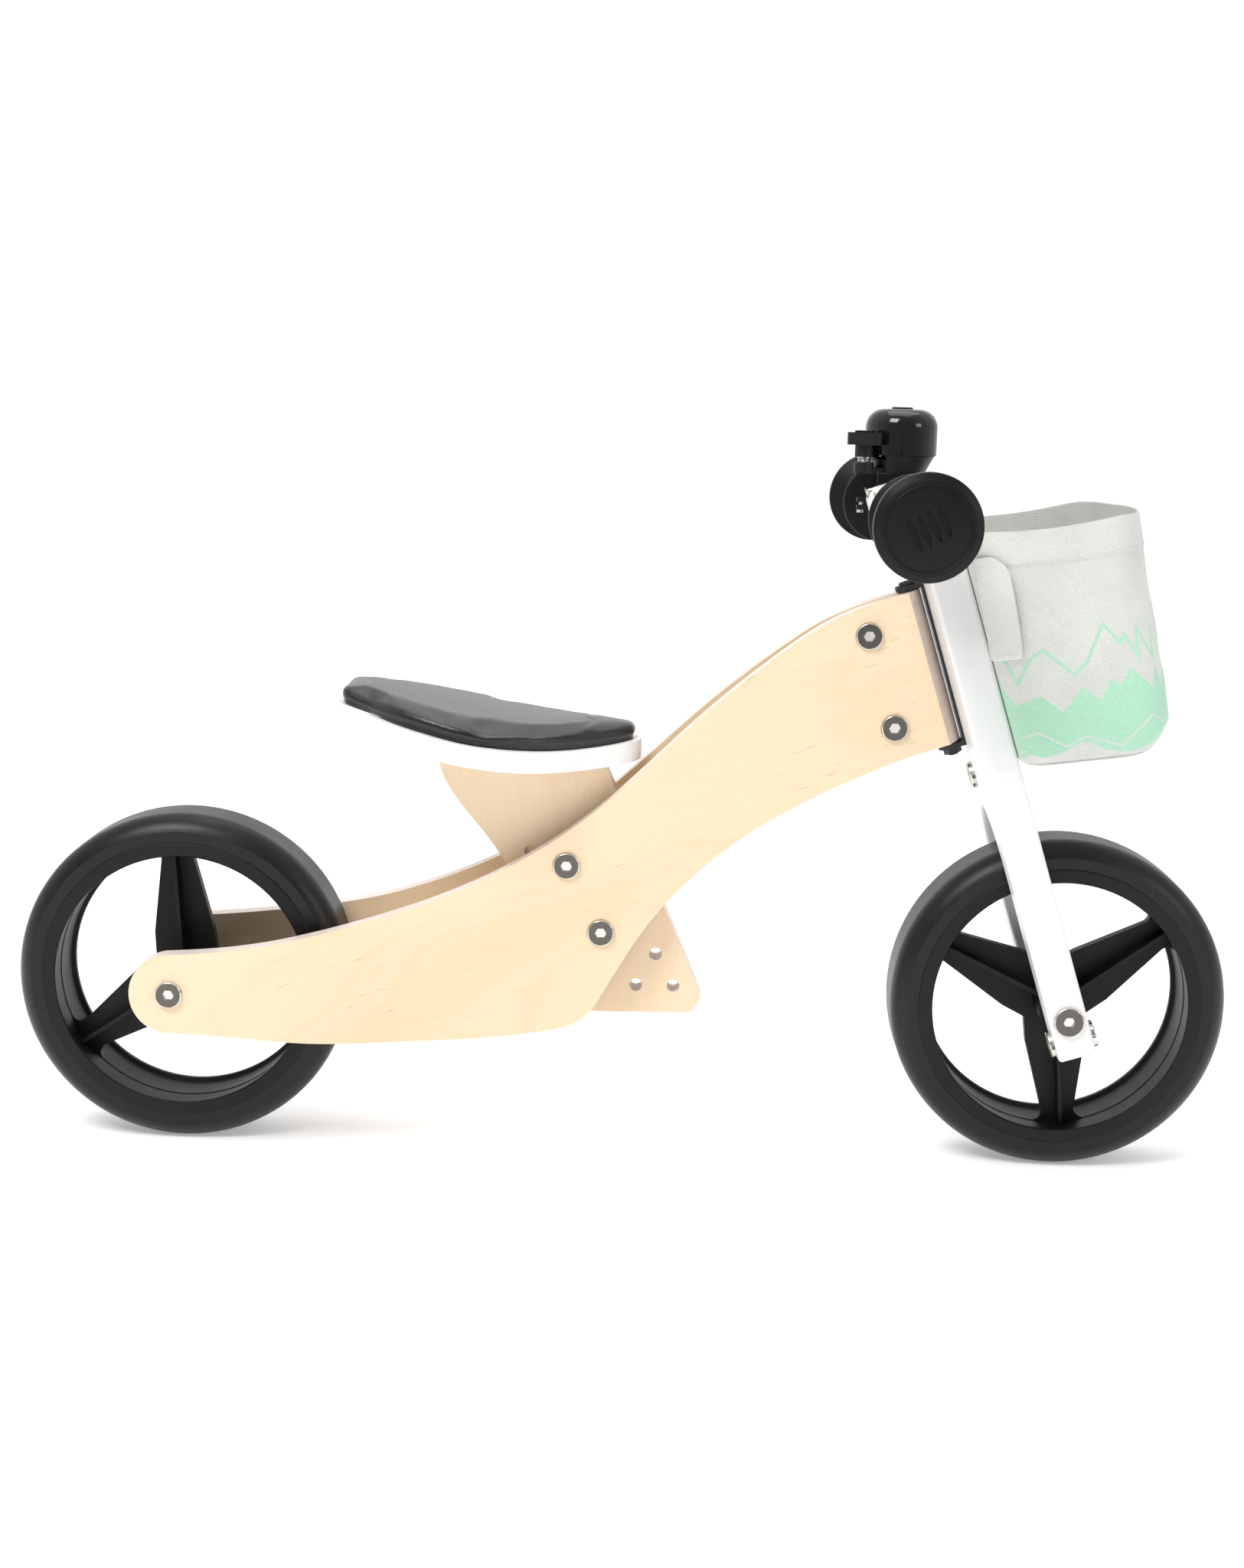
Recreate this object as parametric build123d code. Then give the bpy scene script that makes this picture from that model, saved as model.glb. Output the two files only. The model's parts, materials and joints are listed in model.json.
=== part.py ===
from build123d import *
import os
from math import atan2, cos, degrees, radians, sin

os.makedirs("parts", exist_ok=True)

# Balance bike.  Millimetres, +X forward, +Y the rider's left, +Z up.
# The origin is on the ground, midway between the two wheel centres, in the bike's middle plane.

# ---- driving dimensions ----
WHEELBASE = 566.0
WHEEL_RADIUS = 107.5
LEAN = 17.8              # degrees that the fork and the steering axis lean back
PLY = 13.0               # thickness of the side boards and the seat board
REAR_HALF = 62.0         # outer half width of the frame at the rear axle
TAIL_REACH = 60.0        # length of the boards' parallel tail each side of the rear axle
KNEE_REACH = 132.0       # from the rear axle forward to the bend where the boards start to close
BEND_RADIUS = 200.0
KNEE_HALF = 44.0         # outer half width of the frame where its boards bend
NOSE_GAP = 1.5           # half of the gap between the boards at the steering axis
NOSE_HALF = PLY + NOSE_GAP
SEAT_PLATE_THICKNESS = 20.0
RUN_GAP = 0.3            # gap between pieces that move past each other
FIT_GAP = 0.05           # radial clearance of a pin or axle in its bore

# wheels
RIM_HALF = 28.0
TYRE_HEIGHT = 17.0
RIM_DEPTH = 9.0
RIM_OUTER = WHEEL_RADIUS - TYRE_HEIGHT
RIM_INNER = RIM_OUTER - RIM_DEPTH
RIM_LIP = 2.5
TYRE_HALF = 27.0
TREAD_HALF = 13.0
TYRE_STEP = 7.0          # height of the sidewall between the rim and the shoulder
HUB_HALF = 31.0
HUB_RADIUS = 14.0
AXLE_RADIUS = 4.0
BUSH_RADIUS = 8.0
BUSH_LENGTH = 14.0
BUSH_FLANGE = 0.8
SPOKE_WEB = 7.0
SPOKE_RIM_WIDTH = 21.0
SPOKE_HUB_WIDTH = 40.0
SPOKE_RIB = 2.6
SPOKE_FILLET = 6.0
WHEEL_PHASE = 5.0        # degrees that the wheels are turned from an upright spoke
SPOKE_LAND = 0.4         # height of the fine ridge inside the rim where the spokes meet it

# connector bolts
HEAD_RADIUS = 8.5
AXLE_HEAD_RADIUS = 9.5
HEAD_HEIGHT = 3.0
HEX_ACROSS = 6.5
HEX_DEPTH = 2.0
STUD_RADIUS = 3.0
SLEEVE_LENGTH = 10.0
HEAD_EDGE = 0.9

# fork, in its own frame: t up the fork from the front axle, u forward of its middle plane
FORK_HALF = 60.0
FORK_THICKNESS = 24.0
FORK_SLOT_HALF = 34.0
FORK_ARCH_TOP = 134.5
FORK_FOOT = 26.0
FORK_TOP = 348.0
FORK_SHOULDER = 26.0
FORK_EDGE = 2.5
CROSS_BOLT_DROP = 15.4
CROWN_BOLT_HEIGHT = 156.6

# steering head
PIVOT_OFFSET = 9.0       # from the fork's rear face back to the steering axis
HEAD_BOTTOM = 182.0
HEAD_TOP = 282.0
HEAD_REACH = 16.0        # how far the board outline runs past the steering axis before its nose is cut
NOSE_RADIUS = 6.5
NOSE_CHAMFER = 33.0
SLEEVE_RADIUS = 4.5
PIN_RADIUS = 3.0
WASHER_RADIUS = 7.0
WASHER_THICKNESS = 1.0
BRACKET_PLATE = 1.5
BRACKET_HALF = 8.0
EAR_RADIUS = 8.5
EAR_THICKNESS = 3.0
PIN_HEAD = 2.0           # height of the steering pin's head
NUT_HEIGHT = 4.0
HEAD_BOLT_BACK = 32.7    # from the steering axis back to the two head bolts
HEAD_BOLT_HEIGHTS = (202.3, 263.0)
BLOCK_HALF_LENGTH = 14.0
BLOCK_END = 8.0

# handlebar and grips
BAR_HEIGHT = 333.0
BAR_BACK = 15.2
BAR_RADIUS = 11.0
BAR_HALF = 174.0
GRIP_START = 98.0
GRIP_END = 185.0
GRIP_FLANGE_RADIUS = 26.5
GRIP_CAP_RADIUS = 30.6
GRIP_TUBE_RADIUS = 15.5
CLAMP_HALF = 48.0
CLAMP_DEPTH = 17.0
CLAMP_HALF_HEIGHT = 17.5

# bell, standing upright on the left of the bar
BELL_SIDE = 76.5
BELL_FORWARD = 8.0       # from the bar's axis forward to the dome's axis
BELL_LIFT = 32.3         # from the bar's axis up to the dome's lower edge
DOME_RADIUS = 23.65
DOME_HEIGHT = 30.0
DOME_WALL = 1.2
CUP_HEIGHT = 12.0
CUP_BOTTOM_RADIUS = 16.0
CUP_TOP_RADIUS = 22.3
BAND_HALF = 4.5
LEVER_BACK = 25.2        # from the dome's axis back to the lever's pivot
LEVER_SIDE = 17.0        # from the dome's axis inwards to the lever's pivot
LEVER_HUB_RADIUS = 6.2

# basket
BASKET_LEAN = 7.8        # degrees that the basket's mouth rises towards the front
BASKET_HALF = 80.0
BASKET_HEIGHT = 147.0
BASKET_FOOT = 166.5      # up the fork to the basket's lower rear edge
BASKET_WALL = 2.0
BASKET_BOW = 16.0        # how far the front bulges in the middle
BASKET_CORNER = 18.0
STRAP_INNER = 60.8
STRAP_OUTER = 71.0
STRAP_THICKNESS = 1.6

# seat
PAD_THICKNESS = 12.0
PAD_MARGIN = 3.5
SEAT_SCREW_X = (-92.0, -62.0, -32.0)
HANDLE_HALF = 21.0       # half width of the handle behind the saddle
HANDLE_END = -254.0

# ---- directions and places worked out from them ----
FORWARD = Vector(cos(radians(LEAN)), 0, sin(radians(LEAN)))
UPWARD = Vector(-sin(radians(LEAN)), 0, cos(radians(LEAN)))
FRONT_AXLE = Vector(WHEELBASE / 2, 0, WHEEL_RADIUS)
REAR_AXLE = Vector(-WHEELBASE / 2, 0, WHEEL_RADIUS)
FORK_BACK = FORK_THICKNESS / 2
AXIS_BACK = FORK_BACK + PIVOT_OFFSET
AXIS_REACH = (FRONT_AXLE - FORWARD * AXIS_BACK).dot(FORWARD)
BAR_CENTRE = FRONT_AXLE + UPWARD * BAR_HEIGHT - FORWARD * BAR_BACK
HUB_END = HUB_HALF + BUSH_FLANGE + RUN_GAP


def fork_point(u, t, y=0.0):
    """A point given by its reach forward and its height along the fork."""
    point = FRONT_AXLE + FORWARD * u + UPWARD * t
    return Vector(point.X, y, point.Z)


def fork_side():
    """Plane of the fork seen from the side: local x forward, local y up the fork."""
    return Plane(origin=FRONT_AXLE, x_dir=FORWARD, z_dir=(0, -1, 0))


def fork_front():
    """Plane of the fork seen along its thickness: local x is +Y, local y up the fork."""
    return Plane(origin=FRONT_AXLE, x_dir=(0, 1, 0), z_dir=FORWARD)


def across(point, z_dir=(0, 1, 0)):
    """Plane through a point, for something that lies along Y."""
    return Plane(origin=point, x_dir=(1, 0, 0), z_dir=z_dir)


def steering_plane(height, u=-AXIS_BACK):
    """Plane square to the steering axis at a height up the fork."""
    return Plane(origin=fork_point(u, height), x_dir=FORWARD, z_dir=UPWARD)


def rod(plane, radius, low, high):
    """Round rod along a plane's normal between two heights."""
    return plane * Pos(0, 0, (low + high) / 2) * Cylinder(radius, high - low)


def tube(plane, outer, inner, low, high):
    """Round tube along a plane's normal between two heights."""
    return rod(plane, outer, low, high) - rod(plane, inner, low - 1, high + 1)


def solids(*pieces):
    """Several separate solids kept together as one node."""
    return Compound(children=[solid for piece in pieces for solid in piece.solids()])


# ---- fasteners ----
def bolt_head(plane, radius, seat):
    """Round head with a hex socket, standing out from a seat height."""
    head = plane * Pos(0, 0, seat + HEAD_HEIGHT / 2) * Cylinder(radius, HEAD_HEIGHT)
    rim = head.edges().filter_by(GeomType.CIRCLE).sort_by(Axis(plane.origin, plane.z_dir))[-1]
    head = fillet(rim, HEAD_EDGE)
    top = seat + HEAD_HEIGHT - HEX_DEPTH
    socket = RegularPolygon(HEX_ACROSS / 2, 6, major_radius=False)
    return head - extrude(plane * Pos(0, 0, top) * socket, HEX_DEPTH + 1)


def connector_bolt(plane, reach, radius=HEAD_RADIUS):
    """Headed bolt from the plane's positive side, with a stud at its far end."""
    shoulder_end = SLEEVE_LENGTH - reach
    bolt = bolt_head(plane, radius, reach) + rod(plane, AXLE_RADIUS, shoulder_end, reach)
    return bolt + rod(plane, STUD_RADIUS, 2 - reach, shoulder_end)


def connector_nut(plane, reach, radius=HEAD_RADIUS):
    """Headed sleeve nut on the plane's negative side, round the bolt's stud."""
    outward = Plane(origin=plane.origin, x_dir=plane.x_dir, z_dir=-plane.z_dir)
    nut = bolt_head(outward, radius, reach) + rod(outward, AXLE_RADIUS, reach - SLEEVE_LENGTH, reach)
    return nut - rod(outward, STUD_RADIUS + FIT_GAP, reach - SLEEVE_LENGTH - 1, reach - 1)


def wood_screw(plane, length, radius=2.0):
    """Countersunk screw, its flat head level with the plane and its shank going down."""
    head = plane * Pos(0, 0, -radius / 2) * Cone(radius, 2 * radius, radius)
    shank = rod(plane, radius, 1 - length, -radius)
    tip = plane * Pos(0, 0, 0.5 - length) * Cone(0.4 * radius, radius, 1)
    recess = plane * Pos(0, 0, -0.5) * Box(0.5 * radius, 2 * radius, 1.2)
    cross = plane * Pos(0, 0, -0.5) * Box(2 * radius, 0.5 * radius, 1.2)
    return head + shank + tip - recess - cross


# ---- side boards ----
def board_outline():
    """Side view of a board: round tail, rising back edge, head square to the steering axis."""
    tail = 25.5
    corners = [(side, height) for height in (HEAD_TOP, HEAD_BOTTOM) for side in (-HEAD_REACH, HEAD_REACH)]
    points = [fork_point(u - AXIS_BACK, t) for u, t in corners]
    neck_top, nose_top, neck_low, nose_low = [(point.X, point.Z) for point in points]
    slope = (FORWARD.X, FORWARD.Z)
    back = (-slope[0], -slope[1])
    axle = (REAR_AXLE.X, REAR_AXLE.Z)
    over = (axle[0], axle[1] + tail)
    under = (axle[0], axle[1] - tail)
    top_points = [over, (-199, 144.5), (-102, 175.5), (-21, 224.6), (49, 290), (105, 336), neck_top]
    top = Spline(*top_points, tangents=[(1, 0.06), slope])
    belly = Spline(neck_low, (144, 250), (65, 203.5), (18, 155.5), (-9.5, 111), tangents=[back, (-0.5, -0.87)])
    knee = Spline((-9.5, 111), (-22.5, 93), (-45, 84.5), tangents=[(-0.5, -0.87), (-0.985, -0.17)])
    bottom = Spline((-45, 84.5), (-110, 77.5), (-190, 76.8), under, tangents=[(-0.985, -0.17), (-1, 0.0)])
    round_tail = ThreePointArc(under, (axle[0] - tail, axle[1]), over)
    head = Polyline(neck_top, nose_top, nose_low, neck_low)
    face = make_face(Curve() + [top, head, belly, knee, bottom, round_tail])
    return Plane.XZ * face


def width_stations():
    """Reach along the fork's normal against the board's outer half width, tail to nose."""
    axle = REAR_AXLE.dot(FORWARD)
    stations = [(axle - TAIL_REACH, REAR_HALF), (axle + TAIL_REACH, REAR_HALF)]
    return stations + [(axle + KNEE_REACH, KNEE_HALF), (AXIS_REACH, NOSE_HALF)]


def taper(reach):
    """Outer half width of the boards on the straight stretch that runs to the nose."""
    (start, wide), (end, narrow) = width_stations()[-2:]
    return wide + (narrow - wide) * (reach - start) / (end - start)


def board_plan():
    """Plan of the left board: bent to follow the frame's width, rounded at the steering axis."""
    stations = width_stations()
    slope = taper(AXIS_REACH + 1) - taper(AXIS_REACH)
    beyond = (AXIS_REACH + HEAD_REACH, NOSE_HALF + slope * HEAD_REACH)
    outer = stations[:-1] + [beyond]
    inner = [(reach, half - PLY) for reach, half in outer]
    outside = FilletPolyline(*outer, radius=BEND_RADIUS)
    inside = FilletPolyline(*inner, radius=BEND_RADIUS)
    ends = [Line(outer[0], inner[0]), Line(outer[-1], inner[-1])]
    band = make_face(Curve() + [outside, inside, *ends])
    return band - nose_trim() - Pos(AXIS_REACH, 0) * Circle(SLEEVE_RADIUS)


def nose_trim():
    """What is cut away in front of the steering axis so that the fork can turn."""
    far = 4 * HEAD_REACH
    angle = radians(NOSE_CHAMFER)
    tangent = (NOSE_RADIUS * cos(angle), NOSE_RADIUS * sin(angle))
    flank = (tangent[0] - far * sin(angle), tangent[1] + far * cos(angle))
    nose = ThreePointArc((NOSE_RADIUS, 0), (NOSE_RADIUS * cos(angle / 2), NOSE_RADIUS * sin(angle / 2)), tangent)
    lines = [Line(tangent, flank), Line(flank, (far, flank[1])), Line((far, flank[1]), (far, -1))]
    base = [Line((far, -1), (NOSE_RADIUS, -1)), Line((NOSE_RADIUS, -1), (NOSE_RADIUS, 0))]
    return Pos(AXIS_REACH, 0) * make_face(Curve() + [nose, *lines, *base])


def head_bolt_planes():
    """Planes of the two bolts that close the head, along Y."""
    back = -AXIS_BACK - HEAD_BOLT_BACK
    return [across(fork_point(back, height)) for height in HEAD_BOLT_HEIGHTS]


def bolt_seat(plane):
    """Half width of the flat seat that a bolt's head bears on in the tapering board."""
    return taper(plane.origin.dot(FORWARD) + HEAD_RADIUS)


def plate_bolt_planes():
    """Planes of the two bolts that hold the seat plate, along Y."""
    return [across(point) for point in PLATE_BOLTS]


PLATE_BOLTS = [Vector(-35.2, 0, 192.0), Vector(-12.4, 0, 149.0)]


def side_board():
    """Left board: bent plywood, 13 mm thick."""
    plan = Plane(origin=(0, 0, 0), x_dir=FORWARD, z_dir=UPWARD) * board_plan()
    band = extrude(plan, 700, both=True)
    board = extrude(board_outline(), 80, both=True) & band
    board -= rod(across(REAR_AXLE), AXLE_RADIUS + FIT_GAP, 0, 80)
    for plane in head_bolt_planes() + plate_bolt_planes():
        board -= rod(plane, AXLE_RADIUS + FIT_GAP, -1, 80)
        board -= rod(plane, HEAD_RADIUS + 0.2, bolt_seat(plane), 80)
    return board


def head_block():
    """Wedge that fills the boards' mouth round the head bolts."""
    reach = AXIS_REACH - HEAD_BOLT_BACK
    ends = (reach - BLOCK_HALF_LENGTH, reach + BLOCK_HALF_LENGTH)
    corners = [(end, side * (taper(end) - PLY)) for side in (1, -1) for end in ends[::side]]
    low = HEAD_BOTTOM + BLOCK_END
    plan = Plane(origin=(0, 0, 0), x_dir=FORWARD, z_dir=UPWARD) * make_face(Polyline(*corners, close=True))
    height = FRONT_AXLE.dot(UPWARD)
    block = extrude(plan, 700, both=True)
    slab = Plane(origin=UPWARD * (height + low), x_dir=FORWARD, z_dir=UPWARD)
    tall = HEAD_TOP - BLOCK_END - low
    block &= slab * Pos(reach, 0, tall / 2) * Box(4 * BLOCK_HALF_LENGTH, 60, tall)
    for plane in head_bolt_planes():
        block -= rod(plane, AXLE_RADIUS + FIT_GAP, -80, 80)
    return block


# ---- steering head ----
def steering_sleeve():
    """Plastic bush between the boards, in which the steering pin turns."""
    return tube(steering_plane(0), SLEEVE_RADIUS, PIN_RADIUS + FIT_GAP, HEAD_BOTTOM, HEAD_TOP)


def steering_washers():
    """Thrust washers on the two ends of the head."""
    plane = steering_plane(0)
    lower = tube(plane, WASHER_RADIUS, PIN_RADIUS + FIT_GAP, HEAD_BOTTOM - WASHER_THICKNESS, HEAD_BOTTOM)
    upper = tube(plane, WASHER_RADIUS, PIN_RADIUS + FIT_GAP, HEAD_TOP, HEAD_TOP + WASHER_THICKNESS)
    return solids(lower, upper)


EAR_GAP = WASHER_THICKNESS + 0.1
EARS = [(HEAD_BOTTOM - EAR_GAP - EAR_THICKNESS, HEAD_BOTTOM - EAR_GAP),
        (HEAD_TOP + EAR_GAP, HEAD_TOP + EAR_GAP + EAR_THICKNESS)]
BRACKET_SCREWS = [(side, EARS[0][1] + 18) for side in (-4, 4)] + [(side, EARS[1][0] - 18) for side in (-4, 4)]


def bracket_screw_planes():
    """Planes at the bracket's rear face, looking back along the screws' heads."""
    u = -FORK_BACK - BRACKET_PLATE
    return [Plane(origin=fork_point(u, t, y), x_dir=(0, 1, 0), z_dir=-FORWARD) for y, t in BRACKET_SCREWS]


def steering_bracket():
    """Black C-shaped bracket on the fork's rear face: a back plate with an ear at each end."""
    low = EARS[0][0]
    high = EARS[1][1]
    middle = steering_plane((low + high) / 2, -FORK_BACK - BRACKET_PLATE / 2)
    bracket = middle * Box(BRACKET_PLATE, 2 * BRACKET_HALF, high - low)
    for bottom, top in EARS:
        ear = rod(steering_plane(0), EAR_RADIUS, bottom, top)
        web = steering_plane((bottom + top) / 2, -FORK_BACK - PIVOT_OFFSET / 2)
        bracket += ear + web * Box(PIVOT_OFFSET, 2 * BRACKET_HALF, top - bottom)
        bracket -= rod(steering_plane(0), PIN_RADIUS, bottom - 1, top + 1)
    bracket = bracket - steering_plane(0, -FORK_BACK + 50) * Box(100, 200, 1000)
    for plane in bracket_screw_planes():
        bracket -= wood_screw_hole(plane, 2 * BRACKET_PLATE)
    return bracket


def wood_screw_hole(plane, length, radius=2.0):
    """What a countersunk screw takes out of what it goes through."""
    return plane * Pos(0, 0, -radius / 2) * Cone(radius, 2 * radius, radius) + rod(plane, radius, -length, 0)


def steering_pin():
    """Bolt that the fork turns about, with its nut below the lower ear."""
    plane = steering_plane(0)
    top = EARS[1][1]
    low = EARS[0][0]
    head = rod(plane, 5.5, top, top + PIN_HEAD)
    head -= extrude(plane * Pos(0, 0, top + 0.6) * RegularPolygon(2, 6, major_radius=False), PIN_HEAD)
    return head + rod(plane, PIN_RADIUS, low - NUT_HEIGHT - 1, top)


def steering_nut():
    """Lock nut on the lower end of the steering pin."""
    plane = steering_plane(0)
    low = EARS[0][0]
    nut = extrude(plane * Pos(0, 0, low - NUT_HEIGHT) * RegularPolygon(5, 6, major_radius=False), NUT_HEIGHT)
    return nut - rod(plane, PIN_RADIUS, low - NUT_HEIGHT - 1, low + 1)


# ---- fork ----
def fork_outline():
    """Front view of the fork: two legs, an arch over the wheel and rounded shoulders."""
    foot = -FORK_FOOT
    crown = FORK_ARCH_TOP - FORK_SLOT_HALF
    body = Pos(0, (FORK_TOP + foot) / 2) * Rectangle(2 * FORK_HALF, FORK_TOP - foot)
    body = fillet(body.vertices().group_by(Axis.Y)[-1], FORK_SHOULDER)
    slot = Pos(0, (crown + foot - 1) / 2) * Rectangle(2 * FORK_SLOT_HALF, crown - foot + 1)
    face = body - slot - Pos(0, crown) * Circle(FORK_SLOT_HALF)
    feet = face.vertices().group_by(Axis.Y)[0]
    return fillet(feet, 6.0)


def cross_bolt_planes():
    """Planes of the bolts that run fore and aft through the legs' feet and the crown."""
    leg = (FORK_HALF + FORK_SLOT_HALF) / 2
    places = [(-leg, -CROSS_BOLT_DROP), (leg, -CROSS_BOLT_DROP), (0, CROWN_BOLT_HEIGHT)]
    return [Plane(origin=fork_point(0, t, y), x_dir=(0, 1, 0), z_dir=FORWARD) for y, t in places]


def fork():
    """White painted board that holds the front wheel and turns on the steering pin."""
    slab = extrude(fork_front() * fork_outline(), FORK_THICKNESS / 2, both=True)
    faces = slab.faces().filter_by(Plane(origin=FRONT_AXLE, z_dir=FORWARD))
    slab = fillet(faces.edges(), FORK_EDGE)
    slab -= rod(across(FRONT_AXLE), AXLE_RADIUS + FIT_GAP, -80, 80)
    slab -= rod(across(BAR_CENTRE), BAR_RADIUS, -80, 80)
    for plane in cross_bolt_planes():
        slab -= rod(plane, AXLE_RADIUS + FIT_GAP, -80, 80)
    for plane in bracket_screw_planes():
        slab -= wood_screw_hole(plane, 16)
    for plane in clamp_screw_planes():
        slab -= rod(plane, 2.0, -CLAMP_SCREW, 0)
    return slab


# ---- handlebar ----
CLAMP_SCREW = 32.0


def clamp_screw_planes():
    """Planes at the clamp's rear face for the four screws that hold the bar."""
    places = [(y, BAR_HEIGHT + dt) for y in (-34, 34) for dt in (-13.8, 13.8)]
    u = -FORK_BACK - CLAMP_DEPTH
    return [Plane(origin=fork_point(u, t, y), x_dir=(0, 1, 0), z_dir=-FORWARD) for y, t in places]


def handlebar_clamp():
    """White block screwed behind the fork's head, which holds the bar in its half-round groove."""
    low = BAR_HEIGHT - CLAMP_HALF_HEIGHT
    high = BAR_HEIGHT + CLAMP_HALF_HEIGHT - 2.5
    middle = (low + high) / 2
    face = Pos(-FORK_BACK - CLAMP_DEPTH / 2, middle) * Rectangle(CLAMP_DEPTH, high - low)
    face = fillet(face.vertices().group_by(Axis.X)[0], 8.0)
    block = extrude(fork_side() * face, CLAMP_HALF, both=True)
    block -= rod(across(BAR_CENTRE), BAR_RADIUS, -80, 80)
    for plane in clamp_screw_planes():
        block -= wood_screw_hole(plane, CLAMP_SCREW)
    return block


def handlebar():
    """Beech dowel across the top of the fork."""
    bar = rod(across(BAR_CENTRE), BAR_RADIUS, -BAR_HALF, BAR_HALF)
    return chamfer(bar.edges().filter_by(GeomType.CIRCLE), 1.0)


def grip():
    """Left grip: flanged inside, a ribbed tube, and a wide round cap with a bore for the bar."""
    cap = GRIP_CAP_RADIUS
    tube_radius = GRIP_TUBE_RADIUS
    start = GRIP_START
    end = GRIP_END
    profile = FilletPolyline(
        (BAR_RADIUS, start),
        (GRIP_FLANGE_RADIUS, start),
        (GRIP_FLANGE_RADIUS, start + 3.5),
        (tube_radius + 1, start + 8),
        (tube_radius, end - 26),
        (tube_radius + 3, end - 15),
        (cap, end - 10),
        (cap, end - 3.2),
        (0.86 * cap, end - 1.2),
        radius=1.5,
    )
    dome = Spline((0.86 * cap, end - 1.2), (0.62 * cap, end - 0.4), (0, end), tangents=[(-1, 0.12), (-1, 0)])
    depth = BAR_HALF + 0.5
    bore = Polyline((0, end), (0, depth), (BAR_RADIUS, depth), (BAR_RADIUS, start))
    body = revolve(make_face(Curve() + [profile, dome, bore]), Axis.Y)
    for ratio in (0.93, 0.86, 0.79):
        body -= Pos(0, end - 0.6, 0) * Rot(90, 0, 0) * Torus(ratio * cap, 0.9)
    body -= Pos(0, end + 0.4, 0) * Rot(90, 0, 0) * Torus(0.63 * cap, 0.9)
    for ring in range(7):
        body -= Pos(0, start + 14 + 6.5 * ring, 0) * Rot(90, 0, 0) * Torus(tube_radius + 1.1, 1.0)
    return body - grip_slits()


def grip_slits():
    """Four slanted lens-shaped slits in the cap's face."""
    lens = Pos(0, 24) * Circle(26) & Pos(0, -24) * Circle(26)
    slits = []
    for step in (-1.5, -0.5, 0.5, 1.5):
        place = Pos(5.4 * step, -2.6 * step) * Rot(0, 0, 64)
        slits.append(extrude(Plane(origin=(0, GRIP_END - 1.4, 0), x_dir=(1, 0, 0), z_dir=(0, 1, 0)) * place * lens, 3))
    return Part() + slits


def place_on_bar(piece):
    """Moves something drawn about the Y axis onto the bar."""
    return Pos(BAR_CENTRE.X, 0, BAR_CENTRE.Z) * piece


# ---- wheels ----
def spoke():
    """One spoke along +X: a flat web that widens to the hub, with a thin rib along its middle."""
    reach = RIM_INNER + RIM_LIP + 1
    inner = HUB_RADIUS - 4
    web = Polyline(
        (inner, SPOKE_HUB_WIDTH / 2),
        (HUB_RADIUS + 14, SPOKE_HUB_WIDTH / 2 - 0.6),
        (RIM_INNER - SPOKE_FILLET, SPOKE_RIM_WIDTH / 2),
        (reach, SPOKE_RIM_WIDTH / 2),
        (reach, -SPOKE_RIM_WIDTH / 2),
        (RIM_INNER - SPOKE_FILLET, -SPOKE_RIM_WIDTH / 2),
        (HUB_RADIUS + 14, -SPOKE_HUB_WIDTH / 2 + 0.6),
        (inner, -SPOKE_HUB_WIDTH / 2),
        close=True,
    )
    return make_face(web)


def spoke_rib():
    """Side view of the rib: deep at the hub and shallower towards the rim."""
    reach = RIM_INNER + RIM_LIP + 1
    hub_depth = 0.6 * HUB_HALF
    rim_depth = 0.5 * RIM_HALF
    corners = [(HUB_RADIUS - 4, hub_depth), (reach, rim_depth), (reach, -rim_depth), (HUB_RADIUS - 4, -hub_depth)]
    return make_face(Polyline(*corners, close=True))


def wheel_hub():
    """Moulded wheel about the Y axis: rim, three spokes and hub in one piece."""
    lip = 4.0
    inside = RIM_INNER + RIM_LIP
    rim = make_face(FilletPolyline(
        (RIM_INNER, -RIM_HALF), (RIM_OUTER, -RIM_HALF), (RIM_OUTER, RIM_HALF), (RIM_INNER, RIM_HALF),
        (RIM_INNER, RIM_HALF - lip), (inside, RIM_HALF - lip - 3), (inside, lip + 3 - RIM_HALF),
        (RIM_INNER, lip - RIM_HALF), close=True, radius=1.0))
    web = Sketch() + [Rot(0, 0, 90 + 120 * turn) * spoke() for turn in range(3)]
    land = inside - SPOKE_LAND
    ring = Circle(inside + 3) - Circle(land)
    flat = web + Circle(HUB_RADIUS + 3) + ring
    corners = [vertex for vertex in flat.vertices() if abs(Vector(vertex).length - land) < 0.1]
    arms = extrude(Plane.XZ * fillet(corners, SPOKE_FILLET), SPOKE_WEB / 2, both=True)
    ribs = [Rot(0, -90 - 120 * turn, 0) * extrude(spoke_rib(), SPOKE_RIB / 2, both=True) for turn in range(3)]
    boss = Rot(90, 0, 0) * Cylinder(HUB_RADIUS, 2 * HUB_HALF)
    wheel = revolve(rim, Axis.Y) + arms
    wheel += ribs
    wheel += boss
    wheel -= Rot(90, 0, 0) * Cylinder(AXLE_RADIUS + 1.5, 4 * HUB_HALF)
    for side in (-1, 1):
        seat = Pos(0, side * (HUB_HALF - BUSH_LENGTH / 2 + 1), 0) * Rot(90, 0, 0)
        wheel -= seat * Cylinder(BUSH_RADIUS, BUSH_LENGTH + 2)
    return wheel


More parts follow.
